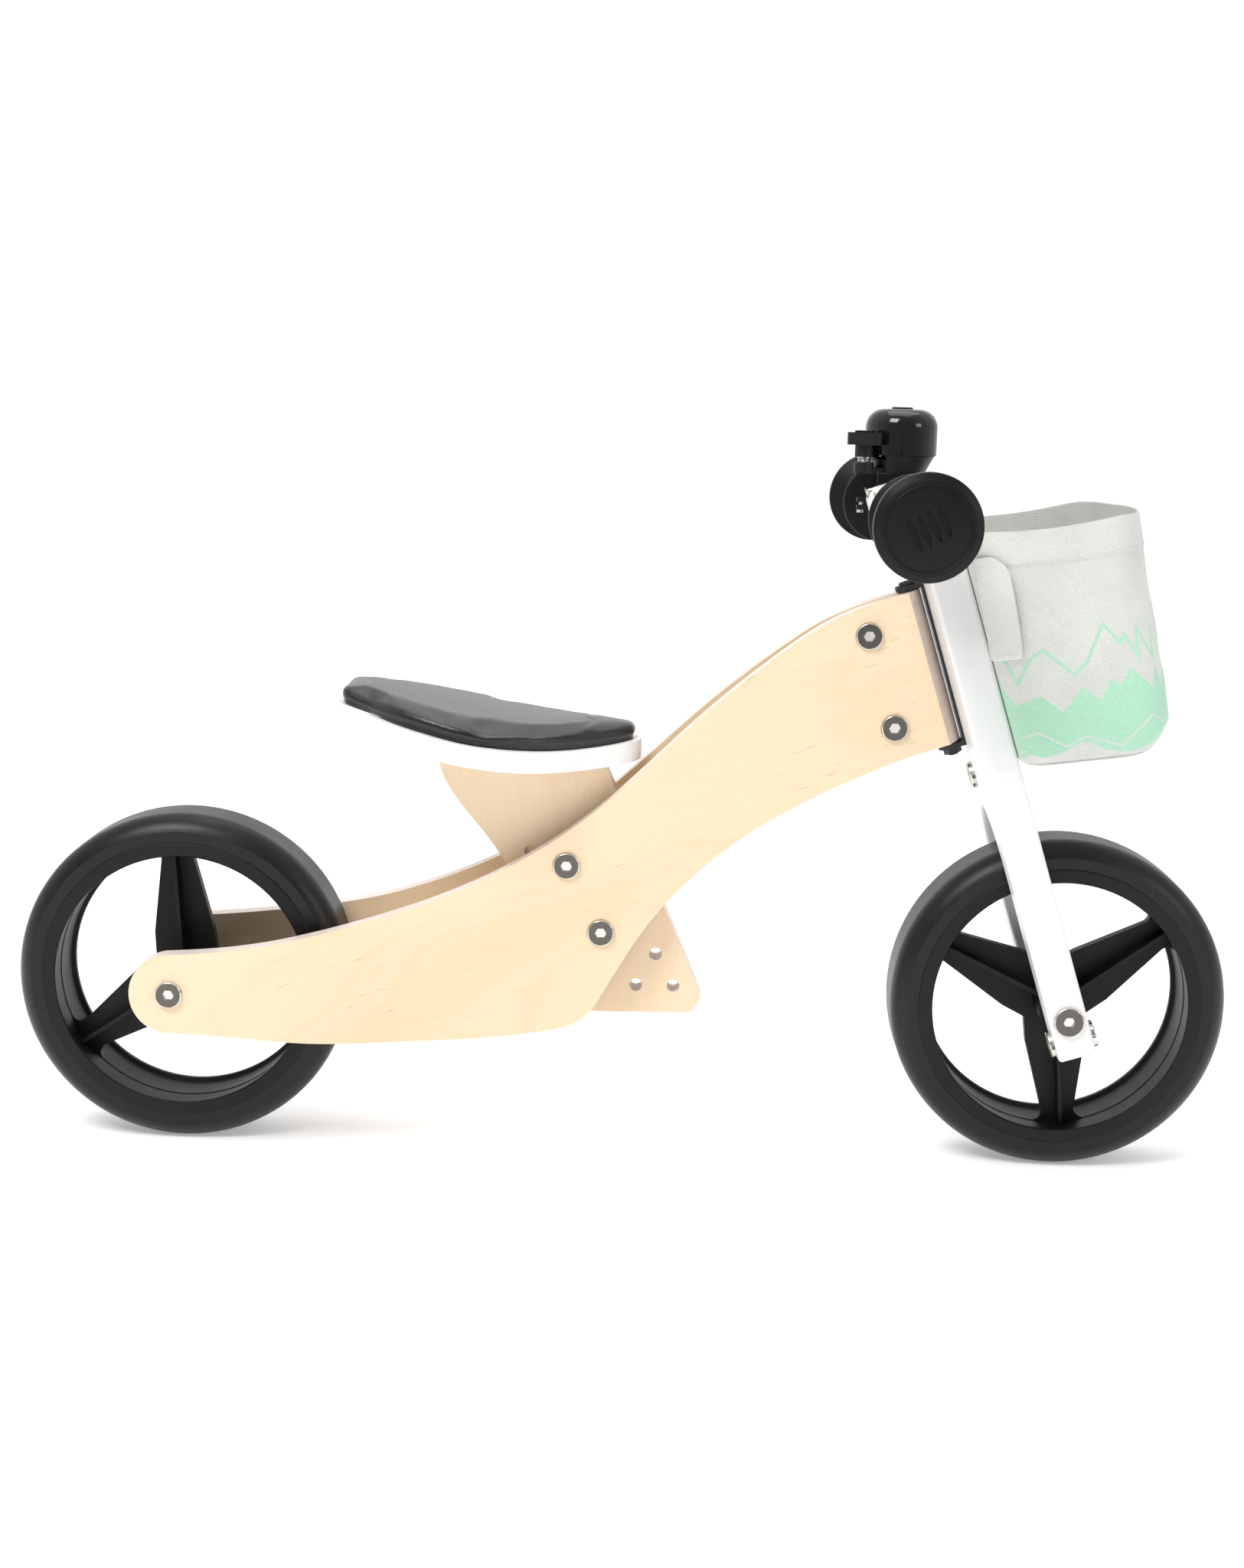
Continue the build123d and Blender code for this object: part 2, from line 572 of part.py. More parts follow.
def tyre():
    """Foam tyre about the Y axis: flat tread, rounded shoulders and a straight sidewall."""
    wall = RIM_OUTER + TYRE_STEP
    shoulder = (WHEEL_RADIUS - 3.0, 0.5 * (TYRE_HALF + TREAD_HALF) + 1.6)
    lines = [
        Line((RIM_OUTER, -TYRE_HALF), (RIM_OUTER, TYRE_HALF)),
        Line((RIM_OUTER, TYRE_HALF), (wall, TYRE_HALF)),
        ThreePointArc((wall, TYRE_HALF), shoulder, (WHEEL_RADIUS, TREAD_HALF)),
        Line((WHEEL_RADIUS, TREAD_HALF), (WHEEL_RADIUS, -TREAD_HALF)),
        ThreePointArc((WHEEL_RADIUS, -TREAD_HALF), (shoulder[0], -shoulder[1]), (wall, -TYRE_HALF)),
        Line((wall, -TYRE_HALF), (RIM_OUTER, -TYRE_HALF)),
    ]
    return revolve(make_face(Curve() + lines), Axis.Y)


def wheel_bushes():
    """Flanged bushes in the hub's two ends."""
    pieces = []
    for side in (-1, 1):
        plane = Plane(origin=(0, 0, 0), x_dir=(1, 0, 0), z_dir=(0, side, 0))
        body = rod(plane, BUSH_RADIUS, HUB_HALF - BUSH_LENGTH, HUB_HALF)
        flange = rod(plane, BUSH_RADIUS + 3, HUB_HALF, HUB_HALF + BUSH_FLANGE)
        pieces.append(body + flange - rod(plane, AXLE_RADIUS + FIT_GAP, 0, 2 * HUB_HALF))
    return solids(*pieces)


def axle_spacers(point, stop):
    """Tubes on the axle between the wheel's bushes and the frame's inner faces."""
    plane = across(point)
    left = tube(plane, 8.0, AXLE_RADIUS + FIT_GAP, HUB_END, stop)
    return solids(left, mirror(left, about=Plane.XZ))


# ---- seat ----
SEAT_UNDERSIDE = [(12, 258), (-31, 255), (-86, 259.4), (-137, 269), (-186, 279.5), (-223, 291), (-256, 304.5)]


def ribbon(low, high):
    """Slice of the curved seat between two heights above the seat board's underside."""
    curve = Spline(*SEAT_UNDERSIDE)
    marks = [step / 12 for step in range(13)]
    lower = [curve @ mark + (curve % mark).rotate(Axis.Z, -90) * low for mark in marks]
    upper = [curve @ mark + (curve % mark).rotate(Axis.Z, -90) * high for mark in marks]
    sides = [Spline(*lower), Line(lower[-1], upper[-1]), Spline(*upper), Line(upper[0], lower[0])]
    return extrude(Plane.XZ * make_face(Curve() + sides), 100, both=True)


def seat_plan(margin=0.0):
    """Plan of the saddle: narrow nose, wide back."""
    nose = (10 - margin, 0)
    side = [(8.5 - margin, 9), (-13, 31.5 - margin), (-50, 61 - margin), (-86, 77 - margin), (-107, 78.5 - margin)]
    tail = [(-137, 66.5 - margin), (-160, 45 - margin), (-184 + margin, 29.5 - margin / 2)]
    right = Spline(nose, *side, *tail, tangents=[(0, 1), (-1, -0.35)])
    left = mirror(right, about=Plane.XZ)
    return right, left, tail[-1]


def seat_board():
    """White saddle-shaped board with a handle that runs back from it."""
    right, left, end = seat_plan()
    shoulder = (HANDLE_END + HANDLE_HALF, HANDLE_HALF)
    neck = Spline(end, (end[0] - 17, (end[1] + 2 * HANDLE_HALF) / 3), shoulder, tangents=[(-1, -0.35), (-1, 0)])
    arc = ThreePointArc(shoulder, (HANDLE_END, 0), (shoulder[0], -HANDLE_HALF))
    outline = Curve() + [right, neck, arc, mirror(neck, about=Plane.XZ), left]
    board = extrude(make_face(outline), 400) & ribbon(0, PLY)
    for plane in seat_screw_planes():
        board -= wood_screw_hole(plane, 60, 2.5)
    return board


def seat_pad():
    """Padded cover on the seat board: a plain block with the pad's outline."""
    right, left, end = seat_plan(PAD_MARGIN)
    outline = Curve() + [right, Line(end, (end[0], -end[1])), left]
    return extrude(make_face(outline), 400) & ribbon(PLY + RUN_GAP, PLY + RUN_GAP + PAD_THICKNESS)


def seat_height(x):
    """Height of the seat board's upper face above a point of the middle line."""
    curve = Spline(*SEAT_UNDERSIDE)
    hit = min((curve @ (step / 400) for step in range(401)), key=lambda point: abs(point.X - x))
    return hit.Y + PLY - 0.4


def seat_screw_planes():
    """Upright planes at the seat board's upper face for the screws into the plate."""
    return [Plane(origin=(x, 0, seat_height(x)), x_dir=(1, 0, 0), z_dir=(0, 0, 1)) for x in SEAT_SCREW_X]


PLATE_HOLE_RADIUS = 4.15
PLATE_CIRCLE_CENTRE = (22.8, 116.2)
PLATE_CIRCLE_RADIUS = 14.0
SPARE_HOLE_SHIFT = (-24.0, 4.0)


def seat_plate():
    """Upright birch plate between the boards, which carries the seat."""
    front_top = (-14.5, 258)
    front_low = (53.5, 102)
    rear_low = (-30, 90.5)
    low_corner = (47, 91.5)
    rear = Spline((-121, 262), (-114.8, 240.7), (-88, 205.5), (-66, 172), (-36, 104))
    lines = [rear, Line((-36, 104), rear_low), Line(rear_low, low_corner), Line(low_corner, front_low)]
    closing = [Line(front_low, front_top), Line(front_top, (-121, 262))]
    face = make_face(Curve() + lines + closing)
    low_corners = [vertex for vertex in face.vertices() if vertex.Y < 103]
    face = fillet(low_corners, 6.0)
    for turn in (90, 210, 330):
        x = PLATE_CIRCLE_CENTRE[0] + PLATE_CIRCLE_RADIUS * cos(radians(turn))
        z = PLATE_CIRCLE_CENTRE[1] + PLATE_CIRCLE_RADIUS * sin(radians(turn))
        face -= Pos(x, z) * Circle(PLATE_HOLE_RADIUS)
    for point in PLATE_BOLTS:
        face -= Pos(point.X, point.Z) * Circle(AXLE_RADIUS + FIT_GAP)
        face -= Pos(point.X + SPARE_HOLE_SHIFT[0], point.Z + SPARE_HOLE_SHIFT[1]) * Circle(PLATE_HOLE_RADIUS)
    plate = extrude(Plane.XZ * face, SEAT_PLATE_THICKNESS / 2, both=True)
    plate -= ribbon(0, 60)
    for plane in seat_screw_planes():
        plate -= wood_screw_hole(plane, 46, 2.5)
    return plate


def plate_spacers():
    """Rings on the plate bolts between the seat plate and the boards, with slanted outer ends."""
    start, end = width_stations()[-2:]
    corners = [(start[0], 0), (end[0], 0), (end[0], end[1] - PLY), (start[0], start[1] - PLY)]
    plan = Plane(origin=(0, 0, 0), x_dir=FORWARD, z_dir=UPWARD) * make_face(Polyline(*corners, close=True))
    between = extrude(plan, 700, both=True)
    rings = []
    for plane in plate_bolt_planes():
        ring = tube(plane, 9.0, AXLE_RADIUS + FIT_GAP, SEAT_PLATE_THICKNESS / 2, KNEE_HALF) & between
        rings += [ring, mirror(ring, about=Plane.XZ)]
    return solids(*rings)


# ---- bell ----
DOME_AXIS = (BAR_CENTRE.X + BELL_FORWARD, BELL_SIDE)
DOME_BASE = BAR_CENTRE.Z + BELL_LIFT
LEVER_AXIS = (DOME_AXIS[0] - LEVER_BACK, DOME_AXIS[1] - LEVER_SIDE)
LEVER_ANGLE = degrees(atan2(LEVER_SIDE, LEVER_BACK))


def upright(place, height=0.0):
    """Level plane at a place, measured up from the dome's lower edge."""
    return Plane(origin=(place[0], place[1], DOME_BASE + height), x_dir=(1, 0, 0), z_dir=(0, 0, 1))


def bell_dome():
    """Pressed steel dome, open below."""
    def shell(radius, height, corner):
        side = [(0, 0), (radius, 0), (radius, height), (0, height)]
        face = make_face(Polyline(*side, close=True))
        face = fillet(face.vertices().sort_by(lambda vertex: vertex.X + vertex.Y)[-1], corner)
        return revolve(Plane.XZ * face, Axis.Z)
    outer = shell(DOME_RADIUS, DOME_HEIGHT, 12)
    inner = shell(DOME_RADIUS - DOME_WALL, DOME_HEIGHT - DOME_WALL, 12 - DOME_WALL)
    dome = outer - inner - Cylinder(2.5, 4 * DOME_HEIGHT)
    return upright(DOME_AXIS) * dome


def bell_cap_screw():
    """Low domed screw that holds the dome on its post."""
    top = DOME_HEIGHT
    cap = Pos(0, 0, top + 0.6) * Cylinder(7, 1.2)
    cap = fillet(cap.edges().filter_by(GeomType.CIRCLE).sort_by(Axis.Z)[-1], 0.9)
    shank = Pos(0, 0, top - 4) * Cylinder(2.4, 8)
    cross = [Pos(0, 0, top + 1) * Rot(0, 0, turn) * Box(5, 0.9, 1.2) for turn in (20, 110)]
    return upright(DOME_AXIS) * (cap + shank - cross)


def bell_base():
    """Black cup below the dome with its post, the lever's boss and the upper half of the clamp."""
    height = CUP_HEIGHT
    cup = Pos(0, 0, -height / 2) * Cone(CUP_BOTTOM_RADIUS, CUP_TOP_RADIUS, height)
    cup -= Pos(0, 0, -height / 2 + 3) * Cone(CUP_BOTTOM_RADIUS - 1.5, CUP_TOP_RADIUS - 1.5, height)
    post = Pos(0, 0, (DOME_HEIGHT - DOME_WALL - height) / 2) * Cylinder(5, DOME_HEIGHT - DOME_WALL + height)
    base = Pos(0, 0, -RUN_GAP) * cup + post
    window = Rot(0, 0, LEVER_ANGLE) * Pos(-CUP_TOP_RADIUS, 0, 0) * Box(12, 18, 5.6)
    base = base - window - Pos(0, 0, DOME_HEIGHT - 8) * Cylinder(2.4, 20)
    boss = Pos(-LEVER_BACK, -LEVER_SIDE, -8.5) * Cylinder(6.5, 7)
    arm = Rot(0, 0, LEVER_ANGLE) * Pos(-(LEVER_BACK + 8) / 2 - 3, 0, -height + 2) * Box(22, 9, 3.5)
    base = upright(DOME_AXIS) * (base + boss + arm)
    neck = Pos(BAR_CENTRE.X, BELL_SIDE, BAR_CENTRE.Z + 15) * Box(13, 2 * BAND_HALF, 12)
    half_ring = band_ring() & Pos(BAR_CENTRE.X, BELL_SIDE, BAR_CENTRE.Z + 26) * Box(80, 40, 50)
    base += neck + half_ring
    base -= rod(across(BAR_CENTRE), BAR_RADIUS, 0, GRIP_START)
    for plane in band_screw_planes():
        base -= rod(plane, 1.5, -14, 12)
    return base - rod(upright(LEVER_AXIS), 1.5, -20, 1)


def band_ring():
    """Ring round the bar with a lug in front and behind."""
    ring = tube(across(BAR_CENTRE), BAR_RADIUS + 2.4, BAR_RADIUS, BELL_SIDE - BAND_HALF, BELL_SIDE + BAND_HALF)
    lugs = Pos(BAR_CENTRE.X, BELL_SIDE, BAR_CENTRE.Z) * Box(2 * BAR_RADIUS + 17, 2 * BAND_HALF, 8)
    return ring + lugs - rod(across(BAR_CENTRE), BAR_RADIUS, 0, GRIP_START)


def bell_band():
    """Lower half of the clamp round the bar."""
    band = band_ring() - Pos(BAR_CENTRE.X, BELL_SIDE, BAR_CENTRE.Z + 24) * Box(80, 40, 50)
    for plane in band_screw_planes():
        band -= rod(plane, 1.5, -14, 12)
    return band


def band_screw_planes():
    """Upright planes of the clamp's two screws, in its lugs."""
    height = BAR_CENTRE.Z
    reach = BAR_RADIUS + 5.4
    return [Plane(origin=(BAR_CENTRE.X + side * reach, BELL_SIDE, height), z_dir=(0, 0, 1)) for side in (-1, 1)]


def band_screws():
    """Two small screws that close the clamp, from below."""
    pieces = []
    for plane in band_screw_planes():
        pieces.append(rod(plane, 1.5, -4, 3.6) + rod(plane, 2.8, -6, -4))
    return solids(*pieces)


def bell_lever():
    """Thumb lever: a hub on its pin with a ribbed pad above it."""
    hub = Pos(0, 0, 3.6) * Cylinder(LEVER_HUB_RADIUS, 9.6)
    pad = Pos(-0.5, -5.8, 6.5) * Rot(0, 0, -20) * extrude(SlotCenterToCenter(12.5, 10.5), 8.0)
    ribs = [Pos(-0.5, -5.8, 15) * Rot(0, 0, -20) * Pos(2.4 * step, 0, 0) * Box(1.2, 10, 1.6) for step in range(-2, 3)]
    body = upright(LEVER_AXIS) * (hub + pad + ribs)
    return body - rod(upright(LEVER_AXIS), 1.5 + FIT_GAP, -4, 9)


def bell_pin():
    """Pin that the lever turns on, fixed in the base's boss."""
    return rod(upright(LEVER_AXIS), 1.5, -12, 8.8)


def bell_spring():
    """Envelope of the lever's coil spring, round its pin."""
    return tube(upright(LEVER_AXIS), 4.6, 3.0, -4.9, -2.3)


def bell_hammer():
    """Steel arm below the dome's edge with a striker that stands up inside the dome."""
    reach = 14.0
    arm = Pos(reach / 2, 0, -1.7) * Box(reach, 3, 1.0)
    collar = Pos(0, 0, -1.7) * (Cylinder(4.5, 1.0) - Cylinder(1.5 + FIT_GAP, 3))
    arm -= Pos(0, 0, -1.7) * Cylinder(4, 3)
    post = Pos(reach, 0, 0.8) * Cylinder(1, 6)
    ball = Pos(reach, 0, 4.5) * Sphere(2.5)
    return upright(LEVER_AXIS) * Rot(0, 0, LEVER_ANGLE) * (collar + arm + post + ball)


# ---- basket ----
BASKET_OUT = Vector(cos(radians(BASKET_LEAN)), 0, sin(radians(BASKET_LEAN)))
BASKET_UP = Vector(-sin(radians(BASKET_LEAN)), 0, cos(radians(BASKET_LEAN)))
BACK_SLOPE = sin(radians(LEAN - BASKET_LEAN)) / cos(radians(LEAN - BASKET_LEAN))
BASKET_STATIONS = [(0, 90.0), (18, 100.0), (76, 95.5), (BASKET_HEIGHT, 89.7)]


def basket_section(height, front, inset):
    """Outline of the basket at a height: straight back along the fork, bowed front."""
    origin = fork_point(FORK_BACK + RUN_GAP, BASKET_FOOT) + BASKET_UP * height
    back = inset - BACK_SLOPE * height
    half = BASKET_HALF - inset
    corner = front - inset - BASKET_BOW
    lines = [
        Line((back, -half), (back, half)),
        Line((back, half), (corner, half)),
        ThreePointArc((corner, half), (front - inset, 0), (corner, -half)),
        Line((corner, -half), (back, -half)),
    ]
    face = make_face(Curve() + lines)
    face = fillet(face.vertices(), BASKET_CORNER - inset)
    return Plane(origin=origin, x_dir=BASKET_OUT, z_dir=BASKET_UP) * face


def basket_bag():
    """Fabric bucket, open at the top."""
    outer = loft([basket_section(height, front, 0) for height, front in BASKET_STATIONS], ruled=True)
    cavity = [(BASKET_WALL, BASKET_STATIONS[0][1])] + BASKET_STATIONS[1:-1] + [(BASKET_HEIGHT + 5, 89.7)]
    inner = loft([basket_section(height, front, BASKET_WALL) for height, front in cavity], ruled=True)
    return outer - inner


def basket_straps():
    """Two fabric loops that hang the basket from the bar, one each side of the fork."""
    width = STRAP_OUTER - STRAP_INNER
    plane = across(BAR_CENTRE)
    loop = tube(plane, BAR_RADIUS + STRAP_THICKNESS, BAR_RADIUS, STRAP_INNER, STRAP_OUTER)
    top = (-BAR_BACK, BAR_HEIGHT + BAR_RADIUS)
    end = (FORK_BACK + RUN_GAP, BAR_HEIGHT - 16)
    tail = Polyline(
        top, (top[0], top[1] + STRAP_THICKNESS), (end[0], end[1] + 12 + STRAP_THICKNESS),
        (end[0], end[1] - 14), (end[0] - STRAP_THICKNESS, end[1] - 14),
        (end[0] - STRAP_THICKNESS, end[1] + 11), close=True)
    side = Plane(origin=FRONT_AXLE + Vector(0, (STRAP_INNER + STRAP_OUTER) / 2, 0), x_dir=FORWARD, z_dir=(0, -1, 0))
    tab = extrude(side * make_face(tail), width / 2, both=True)
    strap = loop + tab - rod(plane, BAR_RADIUS, 0, GRIP_START)
    return solids(strap, mirror(strap, about=Plane.XZ))


# ---- assembly ----
def save(name, piece):
    """Writes one node's solids."""
    export_step(piece, os.path.join("parts", name + ".step"))


def pair(name, left):
    """Writes a left piece and its mirror image."""
    save(name + "_left", left)
    save(name + "_right", mirror(left, about=Plane.XZ))


def save_bolts(name, planes, reaches):
    """Writes a set of connector bolts and their sleeve nuts."""
    places = list(zip(planes, reaches))
    save(name + "_bolts", solids(*[connector_bolt(plane, reach) for plane, reach in places]))
    save(name + "_nuts", solids(*[connector_nut(plane, reach) for plane, reach in places]))


def save_board_bolts(name, planes):
    """Writes bolts that close the two boards, headed on the rider's right."""
    reaches = [bolt_seat(plane) for plane in planes]
    save_bolts(name, [across(plane.origin, (0, -1, 0)) for plane in planes], reaches)


def main():
    pair("side_board", side_board())
    save("head_block", head_block())
    save_board_bolts("head", head_bolt_planes())
    save("seat_plate", seat_plate())
    save("plate_spacers", plate_spacers())
    save_board_bolts("plate", plate_bolt_planes())
    save("seat_board", seat_board())
    save("seat_pad", seat_pad())
    save("seat_screws", solids(*[wood_screw(plane, 46, 2.5) for plane in seat_screw_planes()]))

    save("steering_sleeve", steering_sleeve())
    save("steering_washers", steering_washers())
    save("steering_bracket", steering_bracket())
    save("bracket_screws", solids(*[wood_screw(plane, 16) for plane in bracket_screw_planes()]))
    save("steering_pin", steering_pin())
    save("steering_nut", steering_nut())

    save("fork", fork())
    save_bolts("fork_cross", cross_bolt_planes(), 3 * [FORK_BACK])
    save("handlebar", handlebar())
    save("handlebar_clamp", handlebar_clamp())
    save("clamp_screws", solids(*[wood_screw(plane, CLAMP_SCREW) for plane in clamp_screw_planes()]))
    pair("grip", place_on_bar(grip()))

    for end, point, stop, half, head in (
        ("rear", REAR_AXLE, REAR_HALF - PLY, REAR_HALF, HEAD_RADIUS),
        ("front", FRONT_AXLE, FORK_SLOT_HALF, FORK_HALF, AXLE_HEAD_RADIUS),
    ):
        turned = -WHEEL_PHASE if end == "rear" else 180 - WHEEL_PHASE
        place = Pos(point.X, 0, point.Z) * Rot(0, turned, 0)
        plane = across(point, (0, -1, 0))
        save(end + "_wheel", place * wheel_hub())
        save(end + "_tyre", Pos(point.X, 0, point.Z) * tyre())
        save(end + "_bushes", Pos(point.X, 0, point.Z) * wheel_bushes())
        save(end + "_spacers", axle_spacers(point, stop))
        save(end + "_axle", connector_bolt(plane, half, head))
        save(end + "_axle_nut", connector_nut(plane, half, head))

    save("bell_base", bell_base())
    save("bell_band", bell_band())
    save("bell_band_screws", band_screws())
    save("bell_dome", bell_dome())
    save("bell_cap_screw", bell_cap_screw())
    save("bell_lever", bell_lever())
    save("bell_pin", bell_pin())
    save("bell_spring", bell_spring())
    save("bell_hammer", bell_hammer())

    save("basket_bag", basket_bag())
    save("basket_straps", basket_straps())


main()
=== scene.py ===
import json
import math

import bpy
import numpy as np
from mathutils import Matrix, Vector, noise
from mathutils.bvhtree import BVHTree


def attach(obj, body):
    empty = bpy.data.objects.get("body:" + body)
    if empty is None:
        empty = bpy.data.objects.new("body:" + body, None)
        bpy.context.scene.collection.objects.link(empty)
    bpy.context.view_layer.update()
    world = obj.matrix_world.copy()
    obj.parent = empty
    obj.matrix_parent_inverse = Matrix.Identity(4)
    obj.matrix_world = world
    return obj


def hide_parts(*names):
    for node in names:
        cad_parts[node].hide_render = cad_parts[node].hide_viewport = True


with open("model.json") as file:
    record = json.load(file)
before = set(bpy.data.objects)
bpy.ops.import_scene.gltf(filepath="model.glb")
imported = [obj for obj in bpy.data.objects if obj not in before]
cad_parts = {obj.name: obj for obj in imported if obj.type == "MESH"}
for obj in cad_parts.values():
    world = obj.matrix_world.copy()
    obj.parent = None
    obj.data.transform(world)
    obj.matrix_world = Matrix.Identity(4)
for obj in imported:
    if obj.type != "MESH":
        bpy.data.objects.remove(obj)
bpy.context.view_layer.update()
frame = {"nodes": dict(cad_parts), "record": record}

# Looks of the balance bike. Lengths in this file are millimetres, and MM turns them into metres.
MM = 0.001
NODES = frame["nodes"]

# fork frame: u forward of the fork's middle plane, t up the fork from the front axle
LEAN = math.radians(17.8)
FORWARD = Vector((math.cos(LEAN), 0, math.sin(LEAN)))
UPWARD = Vector((-math.sin(LEAN), 0, math.cos(LEAN)))
FRONT_AXLE = Vector((283.0, 0, 107.5))
BAR_BACK, BAR_HEIGHT, BAR_RADIUS = 15.2, 333.0, 11.0
BAR = FRONT_AXLE + UPWARD * BAR_HEIGHT - FORWARD * BAR_BACK
LEVER_AXIS = Vector((BAR.x + 8 - 25.2, 76.5 - 17, BAR.z + 32.3))


# ---- camera, light and floor ----
def make_camera():
    """Camera at the photograph's angle."""
    pitch, yaw, roll = (math.radians(a) for a in (10.077, 1.109, 1.493))
    right = Vector((math.cos(yaw), math.sin(yaw), 0))
    level = math.cos(pitch)
    ahead = Vector((-math.sin(yaw) * level, math.cos(yaw) * level, -math.sin(pitch)))
    up = right.cross(ahead)
    across = math.cos(roll) * right + math.sin(roll) * up
    above = -math.sin(roll) * right + math.cos(roll) * up
    data = bpy.data.cameras.new("camera")
    data.sensor_fit = "VERTICAL"
    data.sensor_height = 36.0
    data.sensor_width = 36.0
    data.lens = 51.55
    data.clip_end = 50
    camera = bpy.data.objects.new("camera", data)
    bpy.context.scene.collection.objects.link(camera)
    place = Matrix((across, above, -ahead)).transposed().to_4x4()
    place.translation = Vector((25.684, -1425.189, 493.11)) * MM
    camera.matrix_world = place
    bpy.context.scene.camera = camera


def area_light(name, place, aim, size, power):
    """Square soft box that points at a place."""
    data = bpy.data.lights.new(name, "AREA")
    data.shape = "SQUARE"
    data.size = size
    data.energy = power
    lamp = bpy.data.objects.new(name, data)
    bpy.context.scene.collection.objects.link(lamp)
    lamp.location = place
    lamp.rotation_mode = "QUATERNION"
    lamp.rotation_quaternion = (Vector(aim) - Vector(place)).to_track_quat("-Z", "Y")


def make_studio():
    """White sweep and soft boxes."""
    world = bpy.data.worlds.new("studio")
    bpy.context.scene.world = world
    world.use_nodes = True
    tree = world.node_tree
    split = tree.nodes.new("ShaderNodeSeparateXYZ")
    fade = tree.nodes.new("ShaderNodeMapRange")
    place = tree.nodes.new("ShaderNodeTexCoord")
    tree.links.new(place.outputs["Generated"], split.inputs[0])
    tree.links.new(split.outputs["Y"], fade.inputs["Value"])
    fade_range = {"From Min": -0.8, "From Max": 0.3, "To Min": 0.25, "To Max": 0.78}
    for key, value in fade_range.items():
        fade.inputs[key].default_value = value
    tree.links.new(fade.outputs[0], tree.nodes["Background"].inputs["Strength"])
    tree.nodes["Background"].inputs["Color"].default_value = (1, 1, 1, 1)
    area_light("key", (-1.0, -1.5, 2.4), (0, 0, 0.2), 1.1, 42)
    area_light("top", (0.2, 0.5, 2.4), (0, 0, 0.2), 1.6, 13)
    area_light("side", (2.2, -1.5, 1.2), (0.2, 0, 0.25), 0.8, 8)
    radius, back, far, wide = 1.2, 2.0, 4.0, 9.0
    profile = [(-far, 0.0), (back, 0.0)]
    for step in range(1, 13):
        turn = math.pi / 2 * step / 12
        profile.append((back + radius * math.sin(turn), radius * (1 - math.cos(turn))))
    profile.append((back + radius, 5.0))
    points = [(side * wide, y, z) for y, z in profile for side in (-1, 1)]
    faces = [(2 * i, 2 * i + 1, 2 * i + 3, 2 * i + 2) for i in range(len(profile) - 1)]
    floor = mesh_object("floor", points, faces, scale=1.0)
    graph = Graph("floor_paper")
    tone = graph.noise(graph.coords("Object"), 3.0, 2)
    graph.set("Base Color", graph.ramp(tone, [(0.3, (0.93, 0.93, 0.93)), (0.7, (0.95, 0.95, 0.95))]))
    graph.set("Roughness", 0.9)
    graph.set("Emission Color", (1, 1, 1))
    graph.set("Emission Strength", 0.24)
    floor.data.materials.append(graph.material)


# ---- mesh helpers ----
def mesh_object(name, points, faces, scale=MM, smooth=True):
    """New object from points in millimetres."""
    data = bpy.data.meshes.new(name)
    data.from_pydata([tuple(Vector(p) * scale) for p in points], [], faces)
    data.validate()
    data.update()
    if smooth:
        data.polygons.foreach_set("use_smooth", [True] * len(data.polygons))
    made = bpy.data.objects.new(name, data)
    bpy.context.scene.collection.objects.link(made)
    return made


def add_modifier(target, kind, **settings):
    """New modifier with these settings."""
    made = target.modifiers.new(kind.lower(), kind)
    for key, value in settings.items():
        setattr(made, key, value)
    return made


def grid_faces(rows, columns, wrap=False):
    """Quads over a grid of points, row by row."""
    last = columns if wrap else columns - 1
    faces = []
    for row in range(rows - 1):
        for column in range(last):
            a = row * columns + column
            b = row * columns + (column + 1) % columns
            faces.append((a, b, b + columns, a + columns))
    return faces


def finish_piece(piece, material, body):
    """Gives a new piece its material and body."""
    piece.data.materials.clear()
    for entry in material if isinstance(material, list) else [material]:
        piece.data.materials.append(entry)
    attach(piece, body)
    return piece


